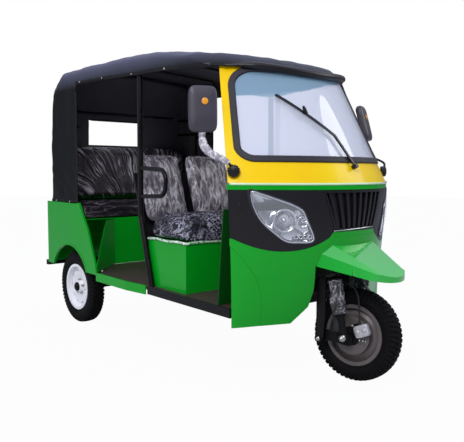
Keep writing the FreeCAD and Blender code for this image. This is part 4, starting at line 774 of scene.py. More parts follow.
def makeTyre(name, kind, place, body, replaces):
    # the radius falls by depth in each groove: shoulder slots, two zigzag grooves, a wavy one between
    spec = tyres[kind]
    radius, half, bead = spec["radius"], spec["width"] / 2, spec["bead"]
    outline = np.array([(bead, -half * 0.78), (bead + 8, -half * 0.80), (bead + 22, -half * 0.86),
                        (bead + (radius - bead) * 0.45, -half), (radius - 30, -half * 0.97),
                        (radius - 16, -half * 0.91), (radius - 7, -half * 0.80), (radius - 2.5, -half * 0.62),
                        (radius - 0.6, -half * 0.36), (radius, -half * 0.12)])
    outline = np.vstack([outline, outline[::-1] * (1, -1)])
    profile = smoothPath(np.column_stack([outline, np.zeros(len(outline))]), 96)[:, :2]
    inner = np.array([(bead, half * 0.5), (bead, 0), (bead, -half * 0.5)])
    profile = np.vstack([profile, inner])
    steps = spec["pitches"] * tyres["blockSteps"]
    angle = np.arange(steps) * 2 * np.pi / steps
    across = profile[:, 1:2] / half
    turn = angle[None, :] * spec["pitches"] / (2 * np.pi)
    lean = np.sign(across) * np.abs(across) * 0.55
    slot = np.abs((turn + lean + 0.5 * (across > 0)) % 1 - 0.5)
    shoulder = (1 - smoothStep(slot, 0.13, 0.19)) * smoothStep(np.abs(across), 0.34, 0.42)
    zigzag = 0.36 + 0.07 * (2 * np.abs((turn + 0.25) % 1 - 0.5) * 2 - 1)
    rib = 1 - smoothStep(np.abs(np.abs(across) - zigzag), 0.035, 0.075)
    middle = 1 - smoothStep(np.abs(across - 0.07 * np.sin(2 * np.pi * turn)), 0.03, 0.06)
    groove = np.maximum(np.maximum(shoulder, rib), middle * 0.9)
    reach = smoothStep(profile[:, :1], radius - 38, radius - 27)
    drop = tyres["depth"] * groove * reach
    sidewall = 0.9 * np.exp(-((profile[:, :1] - (bead + 26)) / 2.2) ** 2)
    r = profile[:, :1] - drop
    y = profile[:, 1:2] + np.sign(across) * (sidewall - drop * 0.35 * smoothStep(np.abs(across), 0.7, 0.9))
    points = np.stack([r * np.cos(angle), np.broadcast_to(y, r.shape), r * np.sin(angle)], axis=-1)
    mesh = gridMesh(name, toRow(place(points)), closed=(True, True), flip=True)
    return addPiece(name, mesh, body, "tyreRubber", replaces)


rearTrackHalf = 548.0
for side, word in sides:
    wheelMiddle = np.array((0, side * rearTrackHalf, tyres["rear"]["radius"]))
    makeTyre("treadedTyre_" + word, "rear", lambda p, middle=wheelMiddle: p + middle, "rear_wheel_" + word,
             ["rear_tyre_" + word])
makeTyre("treadedTyre_front", "front", lambda p: steered(p + frontHub), "front_wheel", ["front_tyre"])
print("the tyres are made")


# small shapes used by several pieces

def roundBox(half, power, steps):
    # a superellipsoid: cosines and sines raised to a small power give a box with rounded edges
    lat = np.linspace(-np.pi / 2, np.pi / 2, steps[0])[:, None]
    lon = np.linspace(0, 2 * np.pi, steps[1], endpoint=False)[None, :]

    def sharp(v):
        return np.sign(v) * np.abs(v) ** power

    return np.stack([sharp(np.cos(lat)) * sharp(np.cos(lon)), sharp(np.cos(lat)) * sharp(np.sin(lon)),
                     sharp(np.sin(lat)) + 0 * lon], axis=-1) * np.asarray(half, float)


def softBlock(name, centre, half, turn=(0, 0, 0), power=0.28, steps=(18, 28), place=None):
    # a rounded box turned about X, Y and Z in degrees, then moved to its centre
    rx, ry, rz = (math.radians(a) for a in turn)
    spin = np.array(Matrix.Rotation(rz, 3, "Z") @ Matrix.Rotation(ry, 3, "Y") @ Matrix.Rotation(rx, 3, "X"))
    points = roundBox(half, power, steps) @ spin.T + np.asarray(centre, float)
    return weld(gridMesh(name, toRow(place(points) if place else points), closed=(False, True)), 1e-6)


def turned(name, profile, centre, axis, steps=32, place=None):
    # (radius, distance along the axis) points turned about any axis through centre
    axis = np.asarray(axis, float) / np.linalg.norm(axis)
    side = np.cross(axis, (0.0, 0.0, 1.0) if abs(axis[2]) < 0.9 else (1.0, 0.0, 0.0))
    side /= np.linalg.norm(side)
    up = np.cross(axis, side)
    profile = np.asarray(profile, float)
    angle = np.linspace(0, 2 * np.pi, steps, endpoint=False)
    ring = side * np.cos(angle)[:, None] + up * np.sin(angle)[:, None]
    points = np.asarray(centre, float) + profile[:, None, :1] * ring[None] + profile[:, None, 1:2] * axis
    return weld(gridMesh(name, toRow(place(points) if place else points), closed=(False, True)), 1e-6)


# hubs: studs, slots and caps on the rear rims

# the outlines are (radius, distance out from the wheel's middle)
rearHub = {"studCircle": 52.0, "studs": 5, "slotCircle": 112.0, "slots": 10, "slotHalf": (7.5, 1.6, 15.0),
           "disc": 20.0, "stud": ((0.01, 6), (10, 6), (10, 19), (7, 24), (6, 24), (6, 33), (0.01, 34)),
           "cap": ((0.01, 8), (40, 8), (40, 14), (33, 18), (31, 44), (27, 51), (18, 54), (0.01, 55)),
           "valve": ((0.01, -4), (3.5, -4), (3.5, 20), (2.4, 21), (2.4, 30), (0.01, 30.5)),
           "valveFoot": (136, 18, 0), "valveAxis": (-0.2, 1, 0)}


def makeRearHub(side, word):
    # a ring of studs, a domed cap, black blocks in the slots round the disc as painted shade seen through
    # them, and the valve
    wheel = "rear_wheel_" + word

    def place(points):
        p = np.asarray(points, float) * (1, side, 1)
        return p + (0, side * rearTrackHalf, tyres["rear"]["radius"])

    angle = np.arange(rearHub["studs"]) * 2 * np.pi / rearHub["studs"] + 0.3
    ring = np.stack([np.cos(angle), 0 * angle, np.sin(angle)], -1) * rearHub["studCircle"]
    studs = [weld(turned("stud", rearHub["stud"], c, (0, 1, 0), 6, place)) for c in ring]
    addJoined("wheelStuds_" + word, studs, wheel, "zincPlate")
    cap = turned("cap", rearHub["cap"], (0, 0, 0), (0, 1, 0), 40, place)
    addJoined("hubCap_" + word, [cap], wheel, "blackChassis")
    # each slot is a thin black block: painted shade where the rim is open
    slots = []
    for a in np.arange(rearHub["slots"]) * 2 * np.pi / rearHub["slots"]:
        turnBy = np.array(Matrix.Rotation(-a, 3, "Y")).T
        slots.append(softBlock("slot", (rearHub["slotCircle"], rearHub["disc"], 0), rearHub["slotHalf"],
                               power=0.7, steps=(9, 16), place=lambda p, t=turnBy: place(p @ t)))
    addJoined("rimSlots_" + word, slots, wheel, "blackChassis")
    valve = turned("valve", rearHub["valve"], rearHub["valveFoot"], rearHub["valveAxis"], 10, place)
    addJoined("tyreValve_" + word, [valve], wheel, "gasketRubber")


for side, word in sides:
    makeRearHub(side, word)
print("the rear hubs are made")


# the front fork: springs in crinkled wrap, caliper and brake pipe

# the wrap's and the coils' ends are shares of the shock absorber's length
fork = {"shockY": 140.0, "topX": 1962.0, "topZ": 563.0, "wrapLow": 0.37, "wrapHigh": 0.90, "wrapRadius": 35.0,
        "wrapCut": (0.54, 0.23), "wrapThickness": 0.8, "pivot": (1888.0, 210.0), "coils": 8, "wire": 5.0,
        "coilLow": 0.40, "coilHigh": 0.97, "coilRadius": 27.0,
        "eye": ((0.01, -14), (21, -14), (22, -10), (22, 10), (21, 14), (0.01, 14))}


def shockPoint(side, share):
    # a point on the line from the axle to the shock absorber's upper eye
    low = frontHub + (0, side * fork["shockY"], 0)
    high = np.array((fork["topX"], side * fork["shockY"], fork["topZ"]))
    return low + (high - low) * share


def makeShocks():
    # a damper and its eye, a helix of wire round it, and a creased tube of wrap over both
    bodies, wraps = [], []
    for side, _ in sides:
        low, high = shockPoint(side, 0.0), shockPoint(side, 1.0)
        along = (high - low) / np.linalg.norm(high - low)
        span = np.linalg.norm(high - low)
        damper = [(0.01, 0), (15, 2), (18, 14), (18, span * 0.30), (24, span * 0.33), (26, span * 0.36),
                  (26, span * 0.40), (14, span * 0.41), (14, span * 0.96), (0.01, span * 0.97)]
        bodies.append(turned("damper", damper, low, along, 28, steered))
        bodies.append(turned("eye", fork["eye"], low, (0, 1, 0), 28, steered))
        t = np.linspace(fork["coilLow"], fork["coilHigh"], 26 * fork["coils"])
        across = np.cross(along, (0, 1, 0))
        angle = t * 2 * np.pi * fork["coils"] / 0.57      # 0.57 is the coils' share of the length
        centre = low + (high - low) * t[:, None]
        ring = across * np.cos(angle)[:, None] + np.array((0, 1, 0)) * np.sin(angle)[:, None]
        path = centre + fork["coilRadius"] * ring
        bodies.append(sweep("coil", steered(path), fork["wire"], 8, along))
        # the wrap: a tube round the spring, creased by folded waves that pinch it in bands
        v = np.linspace(fork["wrapLow"], fork["wrapHigh"], 64)[:, None]
        u = np.linspace(0, 2 * np.pi, 72, endpoint=False)[None, :]
        grid = np.stack([np.cos(u) * 60 + 0 * v, np.sin(u) * 60 + 0 * v, v * span + 0 * u], -1)
        crease = np.abs(ripples(grid, 62, 21 + side, (1, 1, 1.4)))
        crease = crease + 0.5 * np.abs(ripples(grid, 27, 31 + side))
        pinch = 1 - 0.08 * np.exp(-((v - 0.52) / 0.03) ** 2) - 0.16 * smoothStep(v, 0.93, 1.0)
        flare = 1 + 0.10 * smoothStep(0.44 - v, 0.0, 0.06)
        r = fork["wrapRadius"] * pinch * flare + 6.0 * crease - 4.0
        ring = across * np.cos(u)[..., None] + np.array((0, 1, 0)) * np.sin(u)[..., None]
        points = low + along * (v * span)[..., None] + ring * r[..., None]
        wraps.append(gridMesh("wrap", toRow(steered(points)), closed=(False, True)))
    addJoined("shockAbsorbers", bodies, "steering", "blackChassis", ["fork_shocks"])
    wrap = addJoined("shockWraps", wraps, "steering", "wrappedShock")
    thicken(wrap, fork["wrapThickness"])


# measured from the front hub; the outlines are (radius, distance along the axle)
caliper = {"centre": (70.0, -86.0, 40.0), "half": (41.0, 17.0, 32.0), "tilt": -24.0,
           "disc": ((36, -62), (96, -62), (100, -61), (100, -58), (96, -57), (36, -57)),
           "carrier": ((0.01, -70), (44, -70), (50, -66), (50, -56), (0.01, -56)),
           "piston": ((0.01, -8.5), (11, -8), (14, -4), (14, 0), (0.01, 0)),
           "bolt": ((0.01, -109), (7, -108), (7, -100), (0.01, -100)),
           "smallBolt": ((0.01, -11), (5, -10), (5, 0), (0.01, 0)),
           "axleNut": ((0.01, 160), (20, 160), (20, 163), (15, 164), (15, 176), (12, 178), (8, 178), (8, 184),
                       (0.01, 185)),
           "pivotNut": ((0.01, 136), (15, 136), (15, 140), (10, 141), (10, 149), (0.01, 150))}


def makeFrontBrake():
    # the disc turns with the wheel; the caliper, its bracket, the links' covers and the nuts stay on the fork
    middle, left = (0, 0, 0), (0, 1, 0)

    def place(points):
        return steered(np.asarray(points, float) + frontHub)

    disc = turned("disc", caliper["disc"], middle, left, 72, place)
    carrier = turned("carrier", caliper["carrier"], middle, left, 40, place)
    x, y, z = caliper["centre"]
    turn = (0, caliper["tilt"], 0)
    body = [softBlock("caliper", (x, y, z), caliper["half"], turn, 0.34, (16, 26), place),
            softBlock("bridge", (x + 4, y + 14, z - 2), (26, 12, 20), turn, 0.4, (12, 20), place)]
    tilt = math.radians(caliper["tilt"])
    aim = np.array((math.cos(tilt), 0, -math.sin(tilt)))
    for step in (-20, 20):
        centre = np.array((x, y - 14, z)) + aim * step
        body.append(turned("piston", caliper["piston"], centre, left, 24, place))
    bracket = [softBlock("bracket", (x - 34, y + 10, z - 4), (34, 5, 34), turn, 0.5, (12, 20), place)]
    for side, _ in sides:
        spot = (-62, side * 100, -16)
        bracket.append(softBlock("linkCover", spot, (86, 5, 26), (0, 8, 0), 0.45, (12, 24), place))
    addJoined("brakeDisc", [disc], "front_wheel", "darkEnamel")
    addJoined("brakeCarrier", [carrier], "steering", "blackChassis")
    addJoined("brakeCaliper", body, "steering", "castAlloy")
    addJoined("brakeBracket", bracket, "steering", "blackChassis")
    nuts, boots = [], []
    pivot = np.array((fork["pivot"][0], 0, fork["pivot"][1])) - frontHub
    for side, _ in sides:
        nuts.append(turned("nut", caliper["axleNut"], middle, (0, side, 0), 6, place))
        nuts.append(turned("nut", caliper["pivotNut"], pivot, (0, side, 0), 6, place))
        spot = (shockPoint(side, 0.06) + shockPoint(side, 0.34)) / 2 - frontHub + (-34, 0, 4)
        boots.append(softBlock("boot", spot, (17, 8, 46), (0, -12, 0), 0.75, (14, 20), place))
    nuts.append(turned("bolt", caliper["bolt"], (x - 48, 0, z + 22), left, 6, place))
    for step in (-14, 6, 20):
        nuts.append(turned("bolt", caliper["smallBolt"], (x + 8 + step, y - 6, z - 48), left, 10, place))
    addJoined("forkNuts", nuts, "steering", "zincPlate")
    addJoined("forkBoots", boots, "steering", "gasketRubber")


def makeForkPlates():
    # pressed side plates over the fork's legs, bowed and widening from the link's pivot up to the crown
    plates = []
    for side, _ in sides:
        low = np.array((fork["pivot"][0] + 4, side * 128.0, fork["pivot"][1] + 4))
        high = np.array((1878.0, side * 128.0, 545.0))
        v = np.linspace(0, 1, 30)
        path = low + (high - low) * v[:, None] + np.stack([10 * np.sin(np.pi * v), 0 * v, 0 * v], -1)
        plates.append(sweep("plate", steered(path), 26 + 8 * v, 20, (0, 1, 0), 0.42))
    addJoined("forkPlates", plates, "steering", "blackTube")


brakePipe = {"route": ((1962, -96, 545), (2000, -92, 520), (2052, -88, 500), (2080, -86, 455),
                       (2088, -84, 400), (2094, -84, 350), (2096, -86, 310)), "radius": 4.2}
makeShocks()
makeFrontBrake()
makeForkPlates()
pipe = sweep("pipe", steered(smoothPath(brakePipe["route"], 90)), brakePipe["radius"], 12, (0, 1, 0))
addJoined("brakePipe", [pipe], "steering", "gasketRubber")
print("the fork is dressed")


# the nose's skin, as the CAD model has it, for what lies on it

# three plan sections: their heights, half widths and reach, and where their sides end
nose = {"levels": (312.0, 750.0, 1035.0), "half": (600.0, 612.0, 632.0), "reach": (1902.0, 2030.0, 2038.0),
        "side": 1736.0, "flat": 18.0}


def throughThree(z, values):
    # the parabola through the values at the three levels (Lagrange's form)
    a, b, c = nose["levels"]
    return (values[0] * (z - b) * (z - c) / ((a - b) * (a - c))
            + values[1] * (z - a) * (z - c) / ((b - a) * (b - c))
            + values[2] * (z - a) * (z - b) / ((c - a) * (c - b)))


def skinX(y, z):
    # an arc in plan through both sides and the nose, pressed flatter between by 16 (u (1 - u)) ^ 2
    half, reach = throughThree(z, nose["half"]), throughThree(z, nose["reach"])
    rise = reach - nose["side"]
    radius = (half ** 2 + rise ** 2) / (2 * rise)
    u = np.minimum((y / half) ** 2, 1)
    arc = reach - radius + np.sqrt(np.maximum(radius ** 2 - y ** 2, 0))
    return arc - nose["flat"] * 16 * (u * (1 - u)) ** 2


def onSkin(skin, y, z, out):
    # the point of x = skin(y, z), moved out along its normal (1, -dx/dy, -dx/dz)
    y, z, out = np.broadcast_arrays(np.asarray(y, float), np.asarray(z, float), np.asarray(out, float))
    slopeY = (skin(y + 1, z) - skin(y - 1, z)) / 2
    slopeZ = (skin(y, z + 1) - skin(y, z - 1)) / 2
    normal = np.stack([np.ones_like(y), -slopeY, -slopeZ], -1)
    normal /= np.linalg.norm(normal, axis=-1, keepdims=True)
    return np.stack([skin(y, z), y, z], -1) + normal * out[..., None]


def onNose(y, z, out=0.0):
    # the nose's point at y and z, moved out along its normal
    return onSkin(skinX, y, z, out)


def noseNormal(y, z):
    # the unit step straight out of the skin
    return onNose(y, z, 1.0) - onNose(y, z, 0.0)


# headlights: a clear lens over a chromed bowl with two dishes and a row of small lights

# the leaf's outline in y and z; each dish has y, z, radius, depth and how far it lies back;
# the small lights run from one y to another at one z, with their number and radius
headlight = {"outline": ((550, 1003), (510, 993), (438, 964), (370, 935), (327, 904), (300, 849), (265, 753),
                         (339, 742), (396, 751), (452, 797), (506, 856), (542, 935)),
             "middle": (388.0, 846.0), "depth": 46.0, "proud": 5.0, "bulge": 9.0,
             "dishes": ((402, 853, 58, 44, 12), (322, 846, 29, 26, 8)), "lights": (349, 284, 772.5, 4, 8.0)}


def leafSurface(name, side, shares, outs, count=144):
    # rings of the leaf shrunk towards its middle, each at its own height over the skin
    loop = closedPath(headlight["outline"], count)
    middle = np.array(headlight["middle"])
    shares, outs = np.asarray(shares, float)[:, None], np.asarray(outs, float)[:, None]
    y = side * (middle[0] + shares * (loop[:, 0] - middle[0]))
    z = middle[1] + shares * (loop[:, 1] - middle[1])
    points = onNose(y, z, np.broadcast_to(outs, y.shape))
    return weld(gridMesh(name, toRow(points), closed=(False, True)), 1e-5)


def leafRim(name, side, share, out, radius, squashed=1.0, count=160):
    # a tube along the leaf's outline grown or shrunk by share, its ring flattened towards the skin
    loop = closedPath(headlight["outline"], count)
    middle = np.array(headlight["middle"])
    y, z = (middle + share * (loop - middle)).T
    path = onNose(side * y, z, out)
    along = np.roll(path, -1, 0) - np.roll(path, 1, 0)
    along /= np.linalg.norm(along, axis=1, keepdims=True)
    up = noseNormal(side * y, z)
    across = np.cross(along, up)
    angle = np.linspace(0, 2 * np.pi, 12, endpoint=False)
    flat, tall = np.cos(angle)[None, :, None], np.sin(angle)[None, :, None]
    ring = across[:, None] * flat + up[:, None] * tall * squashed
    return weld(gridMesh(name, toRow(path[:, None] + ring * radius), closed=(True, True)), 1e-6)


def makeHeadlight(side, word):
    # the lens bulges by 1 - share squared; the bowl sinks towards its middle, each dish is a parabola
    s = np.concatenate([[1.0, 1.0], np.cos(np.linspace(0.15, np.pi / 2, 22))])
    out = np.concatenate([[-20.0, 1.0], headlight["proud"] + headlight["bulge"] * (1 - s[2:] ** 2)])
    s[0], s[1] = 0.985, 0.99
    lens = leafSurface("lens", side, s, out)
    addPiece("headlightLens_" + word, lens, "chassis", "clearPolycarbonate",
             ["headlight_" + word])
    s = np.concatenate([[0.99, 0.975, 0.95], np.linspace(0.90, 0.0, 20)])
    out = np.concatenate([[2.0, 2.5, -6.0], -headlight["depth"] + 30 * np.linspace(0.90, 0, 20) ** 2.2])
    bowl = [leafSurface("bowl", side, s, out)]
    for y, z, radius, depth, sunk in headlight["dishes"]:
        centre, axis = onNose(side * y, z, -sunk), noseNormal(side * y, z)
        dish = [(radius * 0.93, -depth * 0.8), (radius + 3, -4), (radius + 3, 1), (radius, 2),
                (radius - 3, 0)]
        dish += [((radius - 4) * k + 0.01, -depth * (1 - k ** 2)) for k in np.linspace(1.0, 0.0, 14)]
        bowl.append(turned("dish", dish, centre, axis, 48))
        bulb = [(radius * 0.22, -depth * 0.98), (radius * 0.22, -depth * 0.6), (radius * 0.16, -depth * 0.34),
                (0.01, -depth * 0.3)]
        bowl.append(turned("bulb", bulb, centre, axis, 20))
    fromY, toY, z, count, radius = headlight["lights"]
    ring = [(radius, -14), (radius + 4, -10), (radius + 4, 1), (radius + 1.5, 3), (radius - 1, 1),
            (radius - 1.5, -6)]
    dark = []
    for y in np.linspace(fromY, toY, count):
        centre, axis = onNose(side * y, z, -5.0), noseNormal(side * y, z)
        bowl.append(turned("ring", ring, centre, axis, 24))
        dark.append(turned("light", [(radius, -9), (radius * 0.7, -4), (0.01, -3)], centre, axis, 20))
    addJoined("headlightBowl_" + word, bowl, "chassis", "chromedPlastic")
    addJoined("smallLights_" + word, dark, "chassis", "satinMoulding")
    rim = leafRim("rim", side, 0.955, 4.5, 4.2, 0.7)
    addJoined("headlightRim_" + word, [rim], "chassis", "chromedPlastic")
    gasket = [leafRim("gasket", side, 0.992, 2.5, 3.4), leafRim("gasket", side, 1.03, 1.0, 4.4, 0.6)]
    addJoined("headlightGasket_" + word, gasket, "chassis", "gasketRubber")


for side, word in sides:
    makeHeadlight(side, word)
print("the headlights are made")


# seats: pads swollen by a cloth simulation, then creased as their wrap is

# voxels and the farthest movement in metres; shrink is the room in mm left for the swelling
pads = {"voxel": 0.013, "pressure": 4.0, "frames": 20, "cap": 0.024, "shrink": 7.0}


def padShape(name, half, place):
    # a rounded box, smaller than its CAD solid all round because it swells
    shrink = np.array([pads["shrink"]] * 3) * (0.9, 1.0, 0.7)
    points = roundBox(np.asarray(half, float) - shrink, 0.22, (30, 44))
    return weld(gridMesh(name, toRow(place(points)), closed=(False, True)), 1e-6)


def swell(name, mesh, pinned):
    # voxel remesh, cloth under pressure with the pinned part held, movement capped, one subdivision
    piece = bpy.data.objects.new(name, mesh)
    bpy.context.scene.collection.objects.link(piece)
    remesh = piece.modifiers.new("voxels", "REMESH")
    remesh.mode, remesh.voxel_size, remesh.use_smooth_shade = "VOXEL", pads["voxel"], True
    graph = bpy.context.evaluated_depsgraph_get()
    fine = bpy.data.meshes.new_from_object(piece.evaluated_get(graph))
    piece.modifiers.clear()
    piece.data = fine
    start = np.empty(len(fine.vertices) * 3, np.float32)
    fine.vertices.foreach_get("co", start)
    start = start.reshape(-1, 3).astype(float)
    moved = start
    group = piece.vertex_groups.new(name="held")
    held = np.nonzero(pinned(start * 1000 + (rearShift, 0, 0)))[0]
    group.add(held.tolist(), 1.0, "REPLACE")
    cloth = piece.modifiers.new("padding", "CLOTH")
    cloth.settings.use_pressure = True
    cloth.settings.uniform_pressure_force = pads["pressure"]
    cloth.settings.effector_weights.gravity = 0.0
    cloth.settings.vertex_group_mass = "held"
    cloth.point_cache.frame_start, cloth.point_cache.frame_end = 1, pads["frames"]
    for step in range(1, pads["frames"] + 1):
        bpy.context.scene.frame_set(step)
    graph = bpy.context.evaluated_depsgraph_get()
    swollen = piece.evaluated_get(graph).to_mesh()
    moved = np.empty(len(swollen.vertices) * 3, np.float32)
    swollen.vertices.foreach_get("co", moved)
    moved = moved.reshape(-1, 3).astype(float)
    piece.evaluated_get(graph).to_mesh_clear()
    piece.modifiers.clear()
    bpy.context.scene.frame_set(1)
    step = moved - start
    far = np.linalg.norm(step, axis=1, keepdims=True)
    moved = start + step * np.minimum(1, pads["cap"] / np.maximum(far, 1e-9))
    piece.vertex_groups.clear()
    fine.vertices.foreach_set("co", moved.astype(np.float32).ravel())
    finer = piece.modifiers.new("finer", "SUBSURF")
    finer.levels = finer.render_levels = 1
    graph = bpy.context.evaluated_depsgraph_get()
    smooth = bpy.data.meshes.new_from_object(piece.evaluated_get(graph))
    piece.modifiers.clear()
    bpy.data.objects.remove(piece)
    smooth.polygons.foreach_set("use_smooth", np.ones(len(smooth.polygons), bool))
    return smooth


def crease(mesh, into, shift):
    # moves each point along its normal by shift(local points), and keeps the mesh's own order
    count = len(mesh.vertices)
    points, normals = np.empty(count * 3, np.float32), np.empty(count * 3, np.float32)
    mesh.vertices.foreach_get("co", points)
    mesh.vertex_normals.foreach_get("vector", normals)
    points, normals = points.reshape(-1, 3).astype(float), normals.reshape(-1, 3).astype(float)
    row = points * 1000 + (rearShift, 0, 0)
    points += normals * shift(into(row))[:, None] / 1000
    mesh.vertices.foreach_set("co", points.astype(np.float32).ravel())
    mesh.update()
    return mesh


def ridged(points, wave, seed, stretch):
    # folded waves, 1 - |sum of sines|: sharp crests with round hollows between
    return 1 - np.minimum(np.abs(ripples(points, wave, seed, stretch)), 1)


def padFrame(foot, lean, half):
    # places a pad's own axes (thickness, width, height) on its foot, leaning back by lean degrees
    a = math.radians(lean)
    thick, up = np.array((math.cos(a), 0, math.sin(a))), np.array((-math.sin(a), 0, math.cos(a)))
    centre = np.asarray(foot, float) + up * half[2]

    def place(p):
        return centre + p[..., :1] * thick + p[..., 1:2] * (0, 1.0, 0) + p[..., 2:] * up

    def into(p):
        q = p - centre
        return np.stack([q @ thick, q[:, 1], q @ up], -1)

    return place, into


# foot is the middle of a pad's lower end, lean its angle back in degrees, half its half sizes;
# crumple and wave are the creases' height and spacing, channels the sewn lines across the pad
seats = {
    "driverCushion": {"replaces": "driver_cushion", "foot": (1093.0, 0.0, 690.0), "lean": 0.0,
                      "half": (225.0, 557.0, 66.0), "paint": "wrappedCushion", "crumple": 6.0, "wave": 130,
                      "stretch": (1.5, 1.0, 1.0), "fill": 0.8, "held": "bottom", "channels": ()},
    "benchCushion": {"replaces": "rear_cushion", "foot": (-115.5, 0.0, 748.0), "lean": 0.0,
                     "half": (212.5, 595.0, 50.0), "paint": "wrappedBench", "crumple": 4.0, "wave": 120,
                     "stretch": (2.5, 1.0, 1.0), "fill": 0.8, "held": "bottom", "channels": ()},
    "benchBack": {"replaces": "rear_back_pad", "foot": (-336.0, 0.0, 857.3), "lean": -6.0,
                  "half": (41.0, 585.0, 212.5), "paint": "fannedBench", "crumple": 4.0, "wave": 110,
                  "stretch": (1.0, 1.0, 3.0), "fill": 0.7, "held": "back", "channels": (-292.5, 0.0, 292.5)},
}
for across, half, word in ((-375.0, 158.0, "Right"), (6.0, 176.0, "Middle"), (375.0, 158.0, "Left")):
    seats["driverBack" + word] = {
        "replaces": "driver_back_pads", "foot": (862.0, across, 782.3), "lean": 18.0,
        "half": (31.0, half, 220.0), "paint": "wrappedBacks", "crumple": 3.0, "wave": 60,
        "stretch": (1.0, 1.0, 5.0), "fill": 0.75, "held": "back", "channels": ()}


def makePad(name, pad):
    # swells the pad, then creases the face that is sat on or leant on and draws its sewn lines in
    half = np.array(pad["half"])
    place, into = padFrame(pad["foot"], pad["lean"], half)

    def pinned(points):
        local = into(points)
        return local[:, 2] < -half[2] * 0.75 if pad["held"] == "bottom" else local[:, 0] < -half[0] * 0.4

    mesh = swell(name, padShape(name, half, place), pinned)

    def shift(local):
        face = (smoothStep(local[:, 2], -half[2] * 0.6, half[2] * 0.2) if pad["held"] == "bottom"
                else smoothStep(local[:, 0], -half[0] * 0.5, half[0] * 0.2))
        seed = 40 + len(name)
        folds = ridged(local, pad["wave"], seed, pad["stretch"]) - 0.5 + 0.5 * (
            ridged(local, pad["wave"] * 0.45, seed + 1, pad["stretch"]) - 0.5)
        sewn = sum(10.0 * np.exp(-((local[:, 1] - c) / 9.0) ** 2) for c in pad["channels"])
        return face * (pad["crumple"] * folds - sewn)

    crease(mesh, into, shift)
    piece = addPiece(name, mesh, "chassis", pad["paint"], [pad["replaces"]])


for name, pad in seats.items():
    makePad(name, pad)
print("the seats are padded")


# the visor's lip and the canvas's bound edges

def ribbon(name, path, half, forward, squashed):
    # a flattened tube along a path
    return sweep(name, path, half, 14, forward, squashed)


def makeEdges():
    # the lip follows the visor's arc; each binding follows a row or column of the roof's grid
    y = np.linspace(-edges["lipReach"], edges["lipReach"], 160)
    soft = np.convolve(np.pad(lipHeight(y), 6, "edge"), np.full(13, 1 / 13), "valid")
    lip = np.stack([visorFront(y) + 4, y, soft], -1)
    addJoined("visorLip", [ribbon("lip", lip, lipHalf(y), (1, 0, 0.3), 0.92)], "chassis", "satinMoulding")
    ahead, last = roof["columns"][0], roofPoints.shape[1] - 1
    half = edges["bindHalf"]
    bound = []
    for column, sign in ((ahead, -1), (last - ahead, 1)):
        edge = roofPoints[:hemRow + 1, column] + (4, sign * 4, 0)
        bound.append(ribbon("bind", smoothPath(edge[::3], 60), half, (0, 1, 0), 0.3))
    for start, stop, sign in ((0, ahead + 1, -1), (last - ahead, last + 1, 1)):
        edge = roofPoints[hemRow, start:stop] + (0, sign * 3, 4)
        bound.append(ribbon("bind", edge[::2], half, (0, 1, 0), 0.3))
    foot = roofPoints[0, ahead:last - ahead + 1]
    bound.append(ribbon("bind", foot[::2] + (0, 0, 8), half, (0.3, 1, 0), 0.34))
    frameLoop = np.vstack([windowPoints[0], windowPoints[1:, -1], windowPoints[-1, -2::-1],
                           windowPoints[-2::-1, 0]])
    bound.append(ribbon("bind", frameLoop[::2] - (5, 0, 0), edges["windowBindHalf"], (1, 0, 0), 0.3))
    addJoined("canvasBinding", bound, "chassis", "vinylBinding")


makeEdges()
print("the canvas edges are bound")


# the windscreen: yellow surround, rubber gasket and glass on one ruled skin

# low and high each give a height, where the sides end, the half width and the reach; each corner of the
# opening has y, z and its radius; top gives the surround's height at the middle, its rise and over what width
screen = {"low": (1035.0, 1742.0, 635.0, 1999.0), "high": (1715.0, 1453.0, 464.0, 1673.0), "middle": 1395.0,
          "opening": ((-558, 1160, 52), (558, 1160, 52), (446, 1634, 125), (-446, 1634, 125)),
          "gasket": 18.0, "proud": 7.0, "top": (1638.0, 18.0, 440.0), "pane": 5.0, "sheet": 10.0}


def screenX(y, z):
    # a plan arc through both sides and the nose, whose three sizes change linearly with height
    share = (z - screen["low"][0]) / (screen["high"][0] - screen["low"][0])
    side, half, reach = (a + (b - a) * share for a, b in zip(screen["low"][1:], screen["high"][1:]))
    rise = reach - side
    radius = (half ** 2 + rise ** 2) / (2 * rise)
    return reach - radius + np.sqrt(np.maximum(radius ** 2 - y ** 2, 0)), half


def onScreen(y, z, out=0.0):
    # the screen's point at y and z, moved out along its normal
    return onSkin(lambda y, z: screenX(y, z)[0], y, z, out)


def roundedLoop(corners, grow, count=48):
    # straight sides joined by arcs: each corner is cut back to its radius and turned through it
    points = np.array([(y, z) for y, z, _ in corners], float)
    radii = np.array([r for _, _, r in corners], float) + grow
    loop = []
    total = len(points)
    for k in range(total):
        before, here, after = points[k - 1], points[k], points[(k + 1) % total]
        a, b = before - here, after - here
        a /= np.linalg.norm(a)
        b /= np.linalg.norm(b)
        half = math.acos(float(a @ b)) / 2
        bisector = (a + b) / np.linalg.norm(a + b)
        here = here - bisector * grow / math.sin(half)
        cut = radii[k] / math.tan(half)
        centre = here + bisector * radii[k] / math.sin(half)
        start, end = here + a * cut - centre, here + b * cut - centre
        t = np.linspace(0, 1, 14)[:, None]
        arc = start * (1 - t) + end * t
        arc *= radii[k] / np.linalg.norm(arc, axis=1, keepdims=True)
        loop.append(centre + arc)
    loop = np.vstack(loop)
    loop = np.vstack([loop, loop[:1]])
    length = np.concatenate([[0], np.cumsum(np.linalg.norm(np.diff(loop, axis=0), axis=1))])
    even = np.linspace(0, length[-1], count * total, endpoint=False)
    return np.stack([np.interp(even, length, loop[:, 0]), np.interp(even, length, loop[:, 1])], -1)


